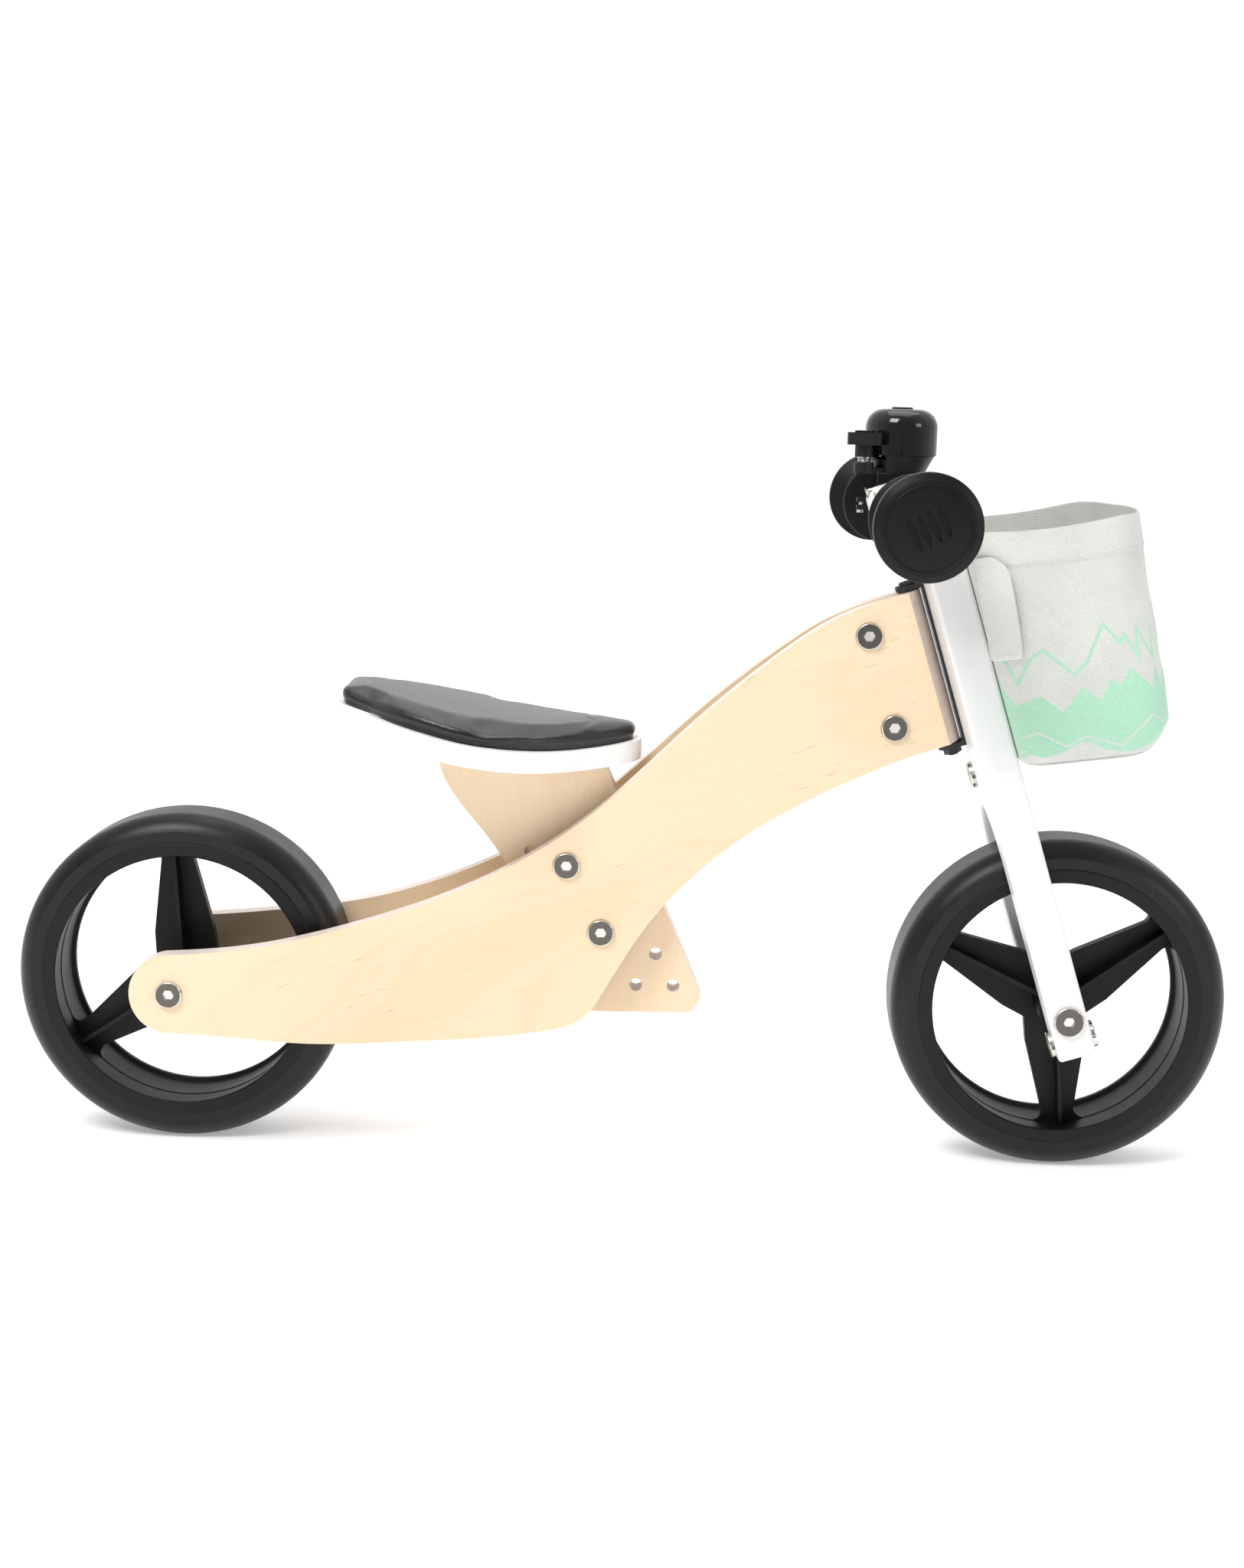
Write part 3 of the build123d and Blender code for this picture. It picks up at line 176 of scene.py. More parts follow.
# ---- materials ----
class Graph:
    """A material's node tree with short names for what is used often."""

    def __init__(self, name):
        self.material = bpy.data.materials.new(name)
        self.material.use_nodes = True
        self.tree = self.material.node_tree
        self.shader = self.tree.nodes["Principled BSDF"]

    def feed(self, socket, value):
        if isinstance(value, bpy.types.NodeSocket):
            self.tree.links.new(value, socket)
        elif isinstance(value, tuple) and len(value) == 3 and socket.type == "RGBA":
            socket.default_value = (*value, 1)
        else:
            socket.default_value = value

    def set(self, name, value):
        self.feed(self.shader.inputs[name], value)

    def add(self, kind, inputs, **settings):
        made = self.tree.nodes.new("ShaderNode" + kind)
        for key, value in settings.items():
            setattr(made, key, value)
        for key, value in inputs.items():
            self.feed(made.inputs[key], value)
        return made

    def coords(self, kind):
        return self.add("TexCoord", {}).outputs[kind]

    def math(self, operation, a, b=0.0):
        return self.add("Math", {0: a, 1: b}, operation=operation).outputs[0]

    def split(self, vector):
        return self.add("SeparateXYZ", {0: vector}).outputs

    def mapped(self, vector, scale=(1, 1, 1), rotation=(0, 0, 0)):
        made = self.add("Mapping", {"Vector": vector, "Scale": scale, "Rotation": rotation})
        return made.outputs[0]

    def noise(self, vector, scale, detail=2.0, rough=0.5, distortion=0.0):
        inputs = {"Vector": vector, "Scale": scale, "Detail": detail, "Roughness": rough,
                  "Distortion": distortion}
        return self.add("TexNoise", inputs).outputs["Fac"]

    def cells(self, vector, scale):
        return self.add("TexVoronoi", {"Vector": vector, "Scale": scale}).outputs["Distance"]

    def ramp(self, fac, stops):
        made = self.add("ValToRGB", {"Fac": fac})
        elements = made.color_ramp.elements
        while len(elements) < len(stops):
            elements.new(0.5)
        for element, (place, colour) in zip(elements, stops):
            element.position = place
            element.color = (*colour, 1) if isinstance(colour, tuple) else (colour,) * 3 + (1,)
        return made.outputs["Color"]

    def mix(self, fac, a, b, blend="MIX"):
        made = self.add("Mix", {}, data_type="RGBA", blend_type=blend)
        self.feed(made.inputs[0], fac)
        self.feed(made.inputs[6], a)
        self.feed(made.inputs[7], b)
        return made.outputs[2]

    def span(self, value, low, high, to_low=0.0, to_high=1.0):
        inputs = {"Value": value, "From Min": low, "From Max": high,
                  "To Min": to_low, "To Max": to_high}
        return self.add("MapRange", inputs).outputs[0]

    def bump(self, height, distance, strength=1.0, below=None):
        inputs = {"Height": height, "Distance": distance, "Strength": strength}
        if below is not None:
            inputs["Normal"] = below
        return self.add("Bump", inputs).outputs["Normal"]

    def curve(self, value, points, high):
        """Straight-line curve through points, for a value from 0 to 1; heights are shares of high."""
        made = self.add("FloatCurve", {"Value": value})
        line = made.mapping.curves[0]
        while len(line.points) < len(points):
            line.points.new(0.5, 0.5)
        for knot, (x, y) in zip(line.points, points):
            knot.location = (x, y / high)
            knot.handle_type = "VECTOR"
        made.mapping.update()
        return made.outputs[0]


def ply_material(name, grain, layers):
    """Varnished birch plywood: rotary-cut figure and flecks on its faces, pale layers on its edges."""
    g = Graph(name)
    place = g.coords("Object")
    along = g.mapped(place, rotation=(0, grain, 0))
    broad = g.noise(g.mapped(along, scale=(2.2, 3, 9)), 1.0, 2.0, 0.5, 0.4)
    fine = g.noise(g.mapped(along, scale=(60, 60, 900)), 1.0, 3.0, 0.6)
    pores = g.noise(g.mapped(along, scale=(30, 30, 420)), 1.0, 2.0, 0.55)
    rings = g.math("FRACT", g.math("MULTIPLY", broad, 11.0))
    contour = g.span(g.math("ABSOLUTE", g.math("SUBTRACT", rings, 0.5)), 0.34, 0.5)
    fleck_noise = g.noise(g.mapped(along, scale=(75, 75, 620)), 1.0, 1.0, 0.4)
    patches = g.span(g.noise(along, 14.0, 1.0), 0.45, 0.62)
    flecks = g.math("MULTIPLY", g.span(fleck_noise, 0.68, 0.78), patches)
    face = g.ramp(broad, [(0.25, (0.82, 0.63, 0.42)), (0.75, (0.88, 0.715, 0.515))])
    face = g.mix(g.math("MULTIPLY", contour, 0.22), face, (0.80, 0.55, 0.31))
    face = g.mix(g.span(fine, 0.25, 0.8, 0.0, 0.20), face, (0.78, 0.56, 0.34))
    face = g.mix(g.span(pores, 0.55, 0.8, 0.0, 0.25), face, (0.76, 0.53, 0.31))
    face = g.mix(g.math("MULTIPLY", flecks, 0.45), face, (0.55, 0.34, 0.17))
    x, y, z = g.split(place)
    depth = g.math("ABSOLUTE", y)
    if layers == "bent":
        reach = g.math("ADD", g.math("MULTIPLY", x, FORWARD.x), g.math("MULTIPLY", z, FORWARD.z))
        flare = g.span(reach, -0.1766, -0.1046, 0.062, 0.044)
        close = g.span(reach, -0.1046, 0.2813, 0.0, 0.0295)
        depth = g.math("SUBTRACT", g.math("SUBTRACT", flare, close), depth)
    sheet = g.math("SINE", g.math("MULTIPLY", depth, 2 * math.pi / 0.00144))
    speck = g.noise(g.mapped(place, scale=(240, 60, 240)), 1.0, 2.0)
    edge = g.mix(g.span(sheet, 0.0, 1.0, 0.0, 0.5), (0.83, 0.72, 0.66), (0.69, 0.52, 0.40))
    edge = g.mix(g.span(speck, 0.45, 0.8, 0.0, 0.35), edge, (0.60, 0.44, 0.33))
    facing = g.math("ABSOLUTE", g.split(g.coords("Normal"))[1])
    g.set("Base Color", g.mix(g.span(facing, 0.55, 0.75), edge, face))
    g.set("Roughness", g.span(fine, 0.2, 0.8, 0.36, 0.5))
    g.set("Specular IOR Level", 0.4)
    g.set("Coat Weight", 0.12)
    g.set("Coat Roughness", 0.25)
    g.set("Normal", g.bump(g.math("ADD", pores, g.math("MULTIPLY", flecks, -1.0)), 0.00012, 0.5))
    return g.material


def white_paint():
    """Satin paint, slightly uneven, with rubbed spots."""
    g = Graph("white_paint")
    place = g.coords("Object")
    cloud = g.noise(place, 9.0, 3.0)
    peel = g.noise(place, 420.0, 2.0)
    rubbed = g.span(g.noise(place, 60.0, 4.0, 0.7), 0.66, 0.78)
    colour = g.ramp(cloud, [(0.3, (0.84, 0.84, 0.838)), (0.7, (0.88, 0.88, 0.88))])
    g.set("Base Color", g.mix(g.math("MULTIPLY", rubbed, 0.25), colour, (0.80, 0.78, 0.75)))
    g.set("Roughness", g.span(cloud, 0.2, 0.8, 0.30, 0.42))
    g.set("Normal", g.bump(peel, 0.0001, 0.35))
    return g.material


def beech_wood():
    """Varnished beech dowel, its grain along the bar."""
    g = Graph("beech")
    place = g.coords("Object")
    streaks = g.noise(g.mapped(place, scale=(500, 14, 500)), 1.0, 3.0, 0.6)
    rays = g.noise(g.mapped(place, scale=(700, 90, 700)), 1.0, 1.0)
    colour = g.ramp(streaks, [(0.25, (0.70, 0.46, 0.27)), (0.75, (0.84, 0.61, 0.39))])
    g.set("Base Color", g.mix(g.span(rays, 0.62, 0.75, 0.0, 0.5), colour, (0.55, 0.33, 0.18)))
    g.set("Roughness", g.span(streaks, 0.2, 0.8, 0.38, 0.5))
    g.set("Normal", g.bump(streaks, 0.0001, 0.4))
    return g.material


def dark_material(name, dark, light, rough, grain, depth, specular=0.5, scuffs=0.0):
    """Black moulded, painted or foam surface with fine grain and faint scuffs."""
    g = Graph(name)
    place = g.coords("Object")
    cloud = g.noise(place, 18.0, 3.0)
    skin = g.noise(place, grain, 3.0, 0.6)
    colour = g.ramp(cloud, [(0.3, dark), (0.7, light)])
    if scuffs:
        marks = g.noise(g.mapped(place, scale=(1, 3, 1)), 70.0, 4.0, 0.7)
        worn = g.span(marks, 0.64, 0.74, 0.0, scuffs)
        colour = g.mix(worn, colour, tuple(3.2 * c + 0.02 for c in light))
    g.set("Base Color", colour)
    g.set("Roughness", g.span(cloud, 0.2, 0.8, *rough))
    g.set("Specular IOR Level", specular)
    g.set("Normal", g.bump(skin, depth, 0.5))
    return g.material


def leatherette():
    """Glossy black leatherette with a fine pebble grain and soft creases."""
    g = Graph("leatherette")
    place = g.coords("Object")
    pebble = g.cells(place, 1100.0)
    pores = g.noise(place, 2400.0, 2.0)
    folds = g.noise(g.mapped(place, scale=(60, 24, 30)), 1.0, 3.0, 0.55, 0.5)
    cloud = g.noise(place, 30.0, 3.0)
    colour = g.ramp(cloud, [(0.3, (0.003, 0.003, 0.0033)), (0.7, (0.006, 0.006, 0.007))])
    g.set("Base Color", colour)
    g.set("Roughness", g.span(pebble, 0.0, 0.7, 0.24, 0.36))
    g.set("Coat Weight", 0.15)
    g.set("Coat Roughness", 0.2)
    soft = g.bump(folds, 0.0008, 0.25)
    grained = g.bump(pebble, 0.00014, 0.55, soft)
    g.set("Normal", g.bump(pores, 0.00006, 0.4, grained))
    return g.material


def bolt_steel():
    """Nickel plate: bright rims and sockets, and a painted dark reflection on the flat head faces, as
    the face attribute says.
    """
    g = Graph("bolt_steel")
    place = g.coords("Object")
    cloud = g.noise(place, 260.0, 2.0)
    turned = g.add("Attribute", {}, attribute_name="painted_reflection_face", attribute_type="GEOMETRY").outputs["Fac"]
    bright = g.ramp(cloud, [(0.3, (0.62, 0.59, 0.55)), (0.7, (0.74, 0.71, 0.67))])
    # the marked flat head faces get a near-black base colour: a painted dark reflection, not a tone of
    # the plating
    g.set("Base Color", g.mix(turned, bright, (0.12, 0.11, 0.10)))
    g.set("Metallic", 1.0)
    g.set("Roughness", g.span(cloud, 0.2, 0.8, 0.16, 0.30))
    g.set("Normal", g.bump(g.noise(place, 1500.0, 2.0), 0.00003, 0.4))
    return g.material


def weave(g, uv, pitch):
    """Height of a coarse plain weave, from 0 to 1."""
    turned = g.mapped(uv, rotation=(0, 0, math.radians(38)))
    x, y, _ = g.split(turned)
    warp = g.math("SINE", g.math("MULTIPLY", x, 2 * math.pi / pitch))
    weft = g.math("SINE", g.math("MULTIPLY", y, 2 * math.pi / pitch))
    return g.span(g.math("MULTIPLY", warp, weft), -1.0, 1.0)


MINT = (0.42, 0.80, 0.56)
PRINT_REACH = 84.0       # the print is mirrored each time the arc has run this far
PRINT_HIGH = 150.0
HILLS = [(0, 39), (17, 44), (27, 33), (40, 47), (49, 38), (56, 50), (62, 46), (68, 57), (79, 42),
         (84, 55)]
RIDGE = [(0, 72), (6, 53), (16, 67), (24, 72), (38, 55), (46, 62), (60, 84), (67, 71), (70, 76),
         (75, 62), (78, 80), (84, 60)]
TRACK = [(0, 19), (10, 22), (24, 12), (36, 17), (56, 9), (75, 26), (84, 19)]
HEM_LINE = [(0, 9), (5, 8), (10, 6), (22, 8.5), (33, 13.5), (38, 13), (47, 7), (60, 5), (70, 6.5),
            (84, 9)]


def bag_fabric(name, printed):
    """Coarse woven polyester, light grey, with a mint print of hills on its outside."""
    g = Graph(name)
    uv = g.coords("UV")
    threads = weave(g, uv, 0.0015)
    cloud = g.noise(g.coords("Object"), 26.0, 3.0)
    colour = g.ramp(cloud, [(0.3, (0.66, 0.675, 0.64)), (0.7, (0.76, 0.77, 0.73))])
    if printed:
        u, v, _ = g.split(uv)
        fold = g.math("PINGPONG", g.math("ABSOLUTE", u), PRINT_REACH * MM)
        share = g.math("DIVIDE", fold, PRINT_REACH * MM)
        high = PRINT_HIGH * MM
        level = g.math("DIVIDE", v, high)

        def curve(points, value):
            return g.curve(value, [(x / PRINT_REACH, y) for x, y in points], PRINT_HIGH)

        def stroke(points, half):
            """1 within half a line's width of a curve, allowing for the curve's slope."""
            here = curve(points, share)
            step = 0.012
            there = curve(points, g.math("ADD", share, step))
            slope = g.math("DIVIDE", g.math("SUBTRACT", there, here), step * PRINT_REACH / PRINT_HIGH)
            length = g.math("SQRT", g.math("ADD", g.math("MULTIPLY", slope, slope), 1.0))
            away = g.math("DIVIDE", g.math("ABSOLUTE", g.math("SUBTRACT", level, here)), length)
            return g.span(away, half / PRINT_HIGH, 0.7 * half / PRINT_HIGH)

        below = g.math("SUBTRACT", curve(HILLS, share), level)
        solid = g.span(below, -0.0015, 0.0015)
        solid = g.math("MULTIPLY", solid, g.math("SUBTRACT", 1.0, stroke(TRACK, 0.55)))
        above_hem = g.span(g.math("SUBTRACT", level, curve(HEM_LINE, share)), -0.001, 0.001)
        mint = g.math("MAXIMUM", g.math("MULTIPLY", solid, above_hem), stroke(RIDGE, 1.15))
        ink = g.mix(g.span(cloud, 0.3, 0.7), MINT, tuple(0.94 * c for c in MINT))
        colour = g.mix(g.math("MULTIPLY", mint, 0.92), colour, ink)
    # painted shade: the low points of the weave are darkened by up to a third, as shade in the hollows
    # between threads
    colour = g.mix(g.span(threads, 0.0, 1.0, 0.34, 0.0), colour, (0.34, 0.36, 0.32))
    g.set("Base Color", colour)
    g.set("Roughness", g.span(threads, 0.0, 1.0, 0.85, 0.70))
    g.set("Specular IOR Level", 0.25)
    g.set("Sheen Weight", 0.25)
    g.set("Sheen Roughness", 0.5)
    g.set("Normal", g.bump(threads, 0.0003, 0.8))
    return g.material


def thread_material():
    """Pale sewing thread with a twist."""
    g = Graph("thread")
    place = g.coords("Object")
    twist = g.noise(place, 2500.0, 2.0)
    g.set("Base Color", g.ramp(twist, [(0.3, (0.62, 0.63, 0.60)), (0.7, (0.80, 0.80, 0.77))]))
    g.set("Roughness", 0.7)
    g.set("Normal", g.bump(twist, 0.0001, 0.5))
    return g.material


def make_materials():
    black = (0.0035, 0.0035, 0.004)
    soot = (0.007, 0.007, 0.0075)
    moulded = ((0.004,) * 3, (0.008,) * 3)
    enamel = ((0.004,) * 3, (0.007,) * 3)
    nylon = ((0.03,) * 3, (0.045,) * 3)
    # name: dark tone, light tone, roughness range, grain, grain depth, specular level, scuffs
    dark = {
        "wheel_plastic": (*moulded, (0.42, 0.54), 700.0, 0.0002, 0.26),
        "foam_tyre": (black, soot, (0.30, 0.42), 900.0, 0.00018, 0.32, 0.15),
        "grip_rubber": (black, soot, (0.36, 0.5), 1300.0, 0.0001, 0.22),
        "black_steel": (black, soot, (0.35, 0.5), 900.0, 0.0001, 0.5, 0.3),
        "bell_paint": (*enamel, (0.08, 0.14), 200.0, 0.00002, 0.5),
        "bell_plastic": (black, soot, (0.34, 0.46), 1000.0, 0.0001, 0.3),
        "spacer_plastic": (*nylon, (0.45, 0.6), 800.0, 0.0001),
    }
    materials = {name: dark_material(name, *values) for name, values in dark.items()}
    materials.update({
        "birch_ply": ply_material("birch_ply", math.radians(20), "bent"),
        "plate_ply": ply_material("plate_ply", math.radians(-82), "flat"),
        "white_paint": white_paint(),
        "beech": beech_wood(),
        "leatherette": leatherette(),
        "bolt_steel": bolt_steel(),
        "bag_fabric": bag_fabric("bag_fabric", True),
        "bag_lining": bag_fabric("bag_lining", False),
        "thread": thread_material(),
    })
    return materials


# ---- CAD nodes ----
def mark_painted_reflection_faces(node):
    """Marks the flat outer face of each bolt head with a face attribute, where the bolt material paints
    a dark reflection.
    """
    data = node.data
    count = len(data.polygons)
    centres = np.zeros(count * 3)
    normals = np.zeros(count * 3)
    data.polygons.foreach_get("center", centres)
    data.polygons.foreach_get("normal", normals)
    centres = centres.reshape(-1, 3) / MM
    normals = normals.reshape(-1, 3)
    mask = np.zeros(count)
    for axis in (np.array([0, 1, 0]), np.array(FORWARD)):
        for sign in (-1, 1):
            out = sign * axis
            flat = np.where(normals @ out > 0.995)[0]
            heights = centres[flat] @ out
            for index, height in zip(flat, heights):
                offset = centres[flat] - centres[index]
                side = np.linalg.norm(offset - np.outer(offset @ out, out), axis=1)
                near = (side < 20) & (np.abs(heights - height) < 12)
                if height > heights[near].max() - 0.2:
                    mask[index] = 1
    attribute = data.attributes.new("painted_reflection_face", "FLOAT", "FACE")
    attribute.data.foreach_set("value", mask.astype(np.float32))


def dress_cad_nodes(materials):
    """Gives every carried-over node the material of its slot."""
    own = {"seat_plate": "plate_ply", "head_block": "plate_ply"}
    for part in frame["record"]["subparts"]:
        name = part["node"]
        node = NODES[name]
        node.data.materials.clear()
        node.data.materials.append(materials[own.get(name, part["material_slot"])])
        if part["material_slot"] == "bolt_steel":
            mark_painted_reflection_faces(node)


# ---- seat pad ----
PAD_OUTLINE = [(6.5, 0), (5, 9), (-13, 28), (-50, 57.5), (-86, 73.5), (-107, 75), (-137, 63),
               (-160, 41.5), (-178, 28.5), (-180.5, 22), (-181, 0)]
PAD_POINTS = 132
PAD_DEPTH = 12.0         # the pad's thickness that the profile is drawn for
PAD_SEAT_GAP = 0.4
PAD_PROFILE = [(1.6, 0.0), (0.9, 1.0), (0.4, 2.6), (0.1, 4.6), (0.0, 6.4), (0.3, 8.2), (1.2, 9.7),
               (2.8, 10.8), (5.0, 11.4), (8.0, 11.7), (12.0, 11.9)]


def catmull(points, count):
    """Evenly spaced points along a smooth curve through the given ones."""
    pts = np.array(points, float)
    pts = np.vstack([2 * pts[0] - pts[1], pts, 2 * pts[-1] - pts[-2]])
    dense = []
    for i in range(1, len(pts) - 2):
        for t in np.linspace(0, 1, 40, endpoint=False):
            a, b, c, d = pts[i - 1:i + 3]
            dense.append(0.5 * (2 * b + (c - a) * t + (2 * a - 5 * b + 4 * c - d) * t ** 2
                                + (3 * b - a - 3 * c + d) * t ** 3))
    dense = np.array(dense + [pts[-2]])
    return resample(dense, count)


def resample(dense, count, closed=False):
    """Points at equal arc lengths along a polyline."""
    if closed:
        dense = np.vstack([dense, dense[:1]])
    arc = np.concatenate([[0], np.cumsum(np.linalg.norm(np.diff(dense, axis=0), axis=1))])
    marks = np.linspace(0, arc[-1], count, endpoint=not closed)
    return np.stack([np.interp(marks, arc, dense[:, k]) for k in range(dense.shape[1])], axis=1)


def seat_surface():
    """Function that gives the height of the seat board's top at a place, in millimetres."""
    board = NODES["seat_board"].data
    points = [v.co.copy() for v in board.vertices]
    tree = BVHTree.FromPolygons(points, [tuple(p.vertices) for p in board.polygons])

    def height(x, y):
        for shrink in (1.0, 0.985, 0.96, 0.9, 0.8, 0.6):
            place = Vector(((x - 3) * shrink if x > 3 else x, y * shrink, 600)) * MM
            hit = tree.ray_cast(place, Vector((0, 0, -1)))[0]
            if hit is not None:
                return hit.z / MM
        return 280.0

    return height


def pad_mesh(height, inset, thickness):
    """Closed pad on the seat board, its outline drawn in by inset; rows run from below to above."""
    half = catmull(PAD_OUTLINE, PAD_POINTS // 2 + 1)
    outline = np.vstack([half, half[-2:0:-1] * [1, -1]])
    spine = np.stack([np.clip(outline[:, 0], -150, -30), np.zeros(len(outline))], axis=1)
    reach = np.linalg.norm(outline - spine, axis=1)[:, None]
    inward = (spine - outline) / reach
    rows = []
    for share in np.linspace(0.0, 0.92, 12):
        rows.append((spine + (outline - spine) * share, 0.0))
    for draw, rise in PAD_PROFILE:
        rows.append((outline + inward * (draw + inset), rise * thickness / PAD_DEPTH))
    last = rows[-1][0]
    edge_rise, crown = PAD_PROFILE[-1][1], 0.7
    for share in np.linspace(0.0, 1.0, 14)[1:]:
        rise = edge_rise + crown * math.sin(share * math.pi / 2)
        rows.append((last + (spine - last) * share, rise * thickness / PAD_DEPTH))
    points = []
    for line, rise in rows:
        for x, y in line:
            points.append((x, y, height(x, y) + PAD_SEAT_GAP + rise))
    faces = grid_faces(len(rows), len(outline), wrap=True)
    return points, faces, len(outline)


def simulate_cloth(piece, pinned, pressure, frames, cap):
    """Swells the piece with cloth simulation, moving no point further than cap."""
    start = np.array([v.co for v in piece.data.vertices])
    group = piece.vertex_groups.new(name="held")
    group.add([int(i) for i in pinned], 1.0, "REPLACE")
    cloth = add_modifier(piece, "CLOTH")
    cloth.settings.quality = 6
    cloth.settings.mass = 0.25
    cloth.settings.tension_stiffness = 25
    cloth.settings.compression_stiffness = 25
    cloth.settings.bending_stiffness = 1.5
    cloth.settings.use_pressure = True
    cloth.settings.uniform_pressure_force = pressure
    cloth.settings.vertex_group_mass = "held"
    cloth.settings.effector_weights.gravity = 0
    cloth.collision_settings.use_collision = False
    scene = bpy.context.scene
    for step in range(1, frames + 1):
        scene.frame_set(step)
    evaluated = piece.evaluated_get(bpy.context.evaluated_depsgraph_get())
    end = np.array([v.co for v in evaluated.data.vertices])
    piece.modifiers.remove(cloth)
    scene.frame_set(1)
    move = end - start
    length = np.linalg.norm(move, axis=1)[:, None]
    move *= np.minimum(1, cap / np.maximum(length, 1e-9))
    piece.data.vertices.foreach_set("co", (start + move).ravel())
    piece.data.update()


def weld(piece, distance=0.05):
    add_modifier(piece, "WELD", merge_threshold=distance * MM)
    apply_modifiers(piece)


def apply_modifiers(piece):
    evaluated = piece.evaluated_get(bpy.context.evaluated_depsgraph_get())
    data = bpy.data.meshes.new_from_object(evaluated)
    piece.modifiers.clear()
    piece.data = data


def make_seat_pad(materials):
    """Padded leatherette cover: swollen by cloth simulation, then creased along its lower edge."""
    height = seat_surface()
    points, faces, around = pad_mesh(height, 1.0, 11.2)
    pad = mesh_object("seat_pad_cover", points, faces)
    weld(pad)
    floor = np.array([height(v.co.x / MM, v.co.y / MM) for v in pad.data.vertices]) + PAD_SEAT_GAP
    above = np.array([v.co.z / MM for v in pad.data.vertices]) - floor
    simulate_cloth(pad, np.where(above < 0.8)[0], 3.0, 20, 2.6 * MM)
    add_modifier(pad, "SUBSURF", levels=1, render_levels=1)
    apply_modifiers(pad)
    for vertex in pad.data.vertices:
        x, y, z = vertex.co / MM
        base = height(x, y) + PAD_SEAT_GAP
        rise = z - base
        centre = Vector((min(max(x, -150), -30), 0, 0))
        outward = Vector((x, y, 0)) - centre
        outward = outward.normalized() if outward.length > 1 else Vector((0, 0, 0))
        side = max(0.0, min(1.0, (10.5 - rise) / 4.0))
        wave = noise.noise(Vector((x * 0.05, y * 0.05, 3.1)))
        crease = math.exp(-((rise - 2.4 - 0.7 * wave) / 0.9) ** 2)
        pucker = noise.noise(Vector((x * 0.35, y * 0.35, rise * 0.12)))
        front = max(0.0, 1 - abs(x + 18) / 28)
        push = -0.9 * crease + side * pucker * (0.16 + 0.55 * front) * (rise > 0.5)
        sink = 0.35 * noise.noise(Vector((x * 0.018, y * 0.02, 9.0))) if rise > 9 else 0.0
        moved = Vector((x, y, max(z + sink, base))) + outward * push
        vertex.co = moved * MM
    pad.data.polygons.foreach_set("use_smooth", [True] * len(pad.data.polygons))
    finish_piece(pad, materials["leatherette"], "frame")
    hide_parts("seat_pad")


# ---- basket ----
BASKET_LEAN = math.radians(7.8)
BASKET_OUT = Vector((math.cos(BASKET_LEAN), 0, math.sin(BASKET_LEAN)))
BASKET_UP = Vector((-math.sin(BASKET_LEAN), 0, math.cos(BASKET_LEAN)))
BASKET_FOOT = FRONT_AXLE + FORWARD * 12.3 + UPWARD * 166.5
BACK_SLOPE = math.tan(LEAN - BASKET_LEAN)
BASKET_HALF, BASKET_HEIGHT, BASKET_BOW = 80.0, 147.0, 16.0
HEM_HEIGHT = 22.0
AROUND = 240


def basket_point(a, y, b):
    """A point of the basket: a forward, y to the left, b up, from its lower rear edge."""
    return BASKET_FOOT + BASKET_OUT * a + BASKET_UP * b + Vector((0, y, 0))


def basket_ring(b, inset=0.0):
    """Outline of the bag at a height, evenly spaced, from its right rear corner forward."""
    front = float(np.interp(b, [0, 18, 76, 147], [90, 100, 95.5, 89.7])) - inset
    back = -BACK_SLOPE * b + inset
    half = BASKET_HALF - inset
    corner = 13.0
    dense = []
    for turn in np.linspace(math.radians(225), math.radians(270), 8):
        dense.append((back + corner * (1 + math.cos(turn)), -half + corner * (1 + math.sin(turn))))
    for turn in np.linspace(0, 1, 20):
        dense.append((back + corner + turn * (front - BASKET_BOW - 16 - back - corner), -half))
    bow = [(front - BASKET_BOW * (y / half) ** 2, y) for y in np.linspace(-half + 16, 0, 30)]
    start, end = np.array(dense[-1]), np.array(bow[0])
    control = np.array((front - BASKET_BOW + 1, -half))
    for t in np.linspace(0, 1, 14)[1:-1]:
        dense.append(tuple((1 - t) ** 2 * start + 2 * t * (1 - t) * control + t * t * end))
    dense += bow
    right = np.array(dense)
    left = right[-2::-1] * [1, -1]
    rear = [(back + corner * (1 + math.cos(turn)), half - corner * (1 + math.sin(turn)))
            for turn in np.linspace(math.radians(225), math.radians(180), 6)[1:]]
    rear += [(back, y) for y in np.linspace(half - corner, corner - half, 24)[1:]]
    rear += [(back + corner * (1 + math.cos(turn)), -half + corner * (1 + math.sin(turn)))
             for turn in np.linspace(math.radians(180), math.radians(225), 6)[1:-1]]
    return resample(np.vstack([right, left, rear]), AROUND, closed=True)


def bag_shape(b, ring):
    """Points of one ring with the fabric's sag, bulges and wrinkles."""
    points = []
    for index, (a, y) in enumerate(ring):
        along = min(1.0, max(0.0, (a + BACK_SLOPE * b) / 95.0))
        flank = max(0.0, (abs(y) - 40) / 40)
        high = b / BASKET_HEIGHT
        sag = -3.2 * math.sin(math.pi * along) * flank * high ** 3
        frown = -1.5 * (1 - flank) * (along > 0.5) * high ** 3
        belly = 1.6 * math.sin(math.pi * min(1, b / 70)) * flank
        waist = -1.4 * math.exp(-((b - 100) / 22) ** 2) * flank
        ripple = noise.noise(Vector((a * 0.03, y * 0.022, b * 0.035))) * 1.5
        crimp = noise.noise(Vector((a * 0.11, y * 0.09, b * 0.05 + 7))) * 0.5
        out = belly + waist + (ripple + crimp) * (0.4 + 0.6 * math.sin(math.pi * min(1, high * 1.1)))
        hem = 0.7 if b > BASKET_HEIGHT - HEM_HEIGHT else 0.0
        seam = 1.1 / (1 + math.exp(-(b - hem_height(ring, index)) / 0.6)) - 1.1
        direction = Vector((a - 42, y * 0.62, 0)).normalized()
        rear = a < -BACK_SLOPE * b + 8
        push = 0.0 if rear else min(out, 1.6) + hem + seam
        points.append(basket_point(a + direction.x * push, y + direction.y * push, b + sag + frown))
    return points


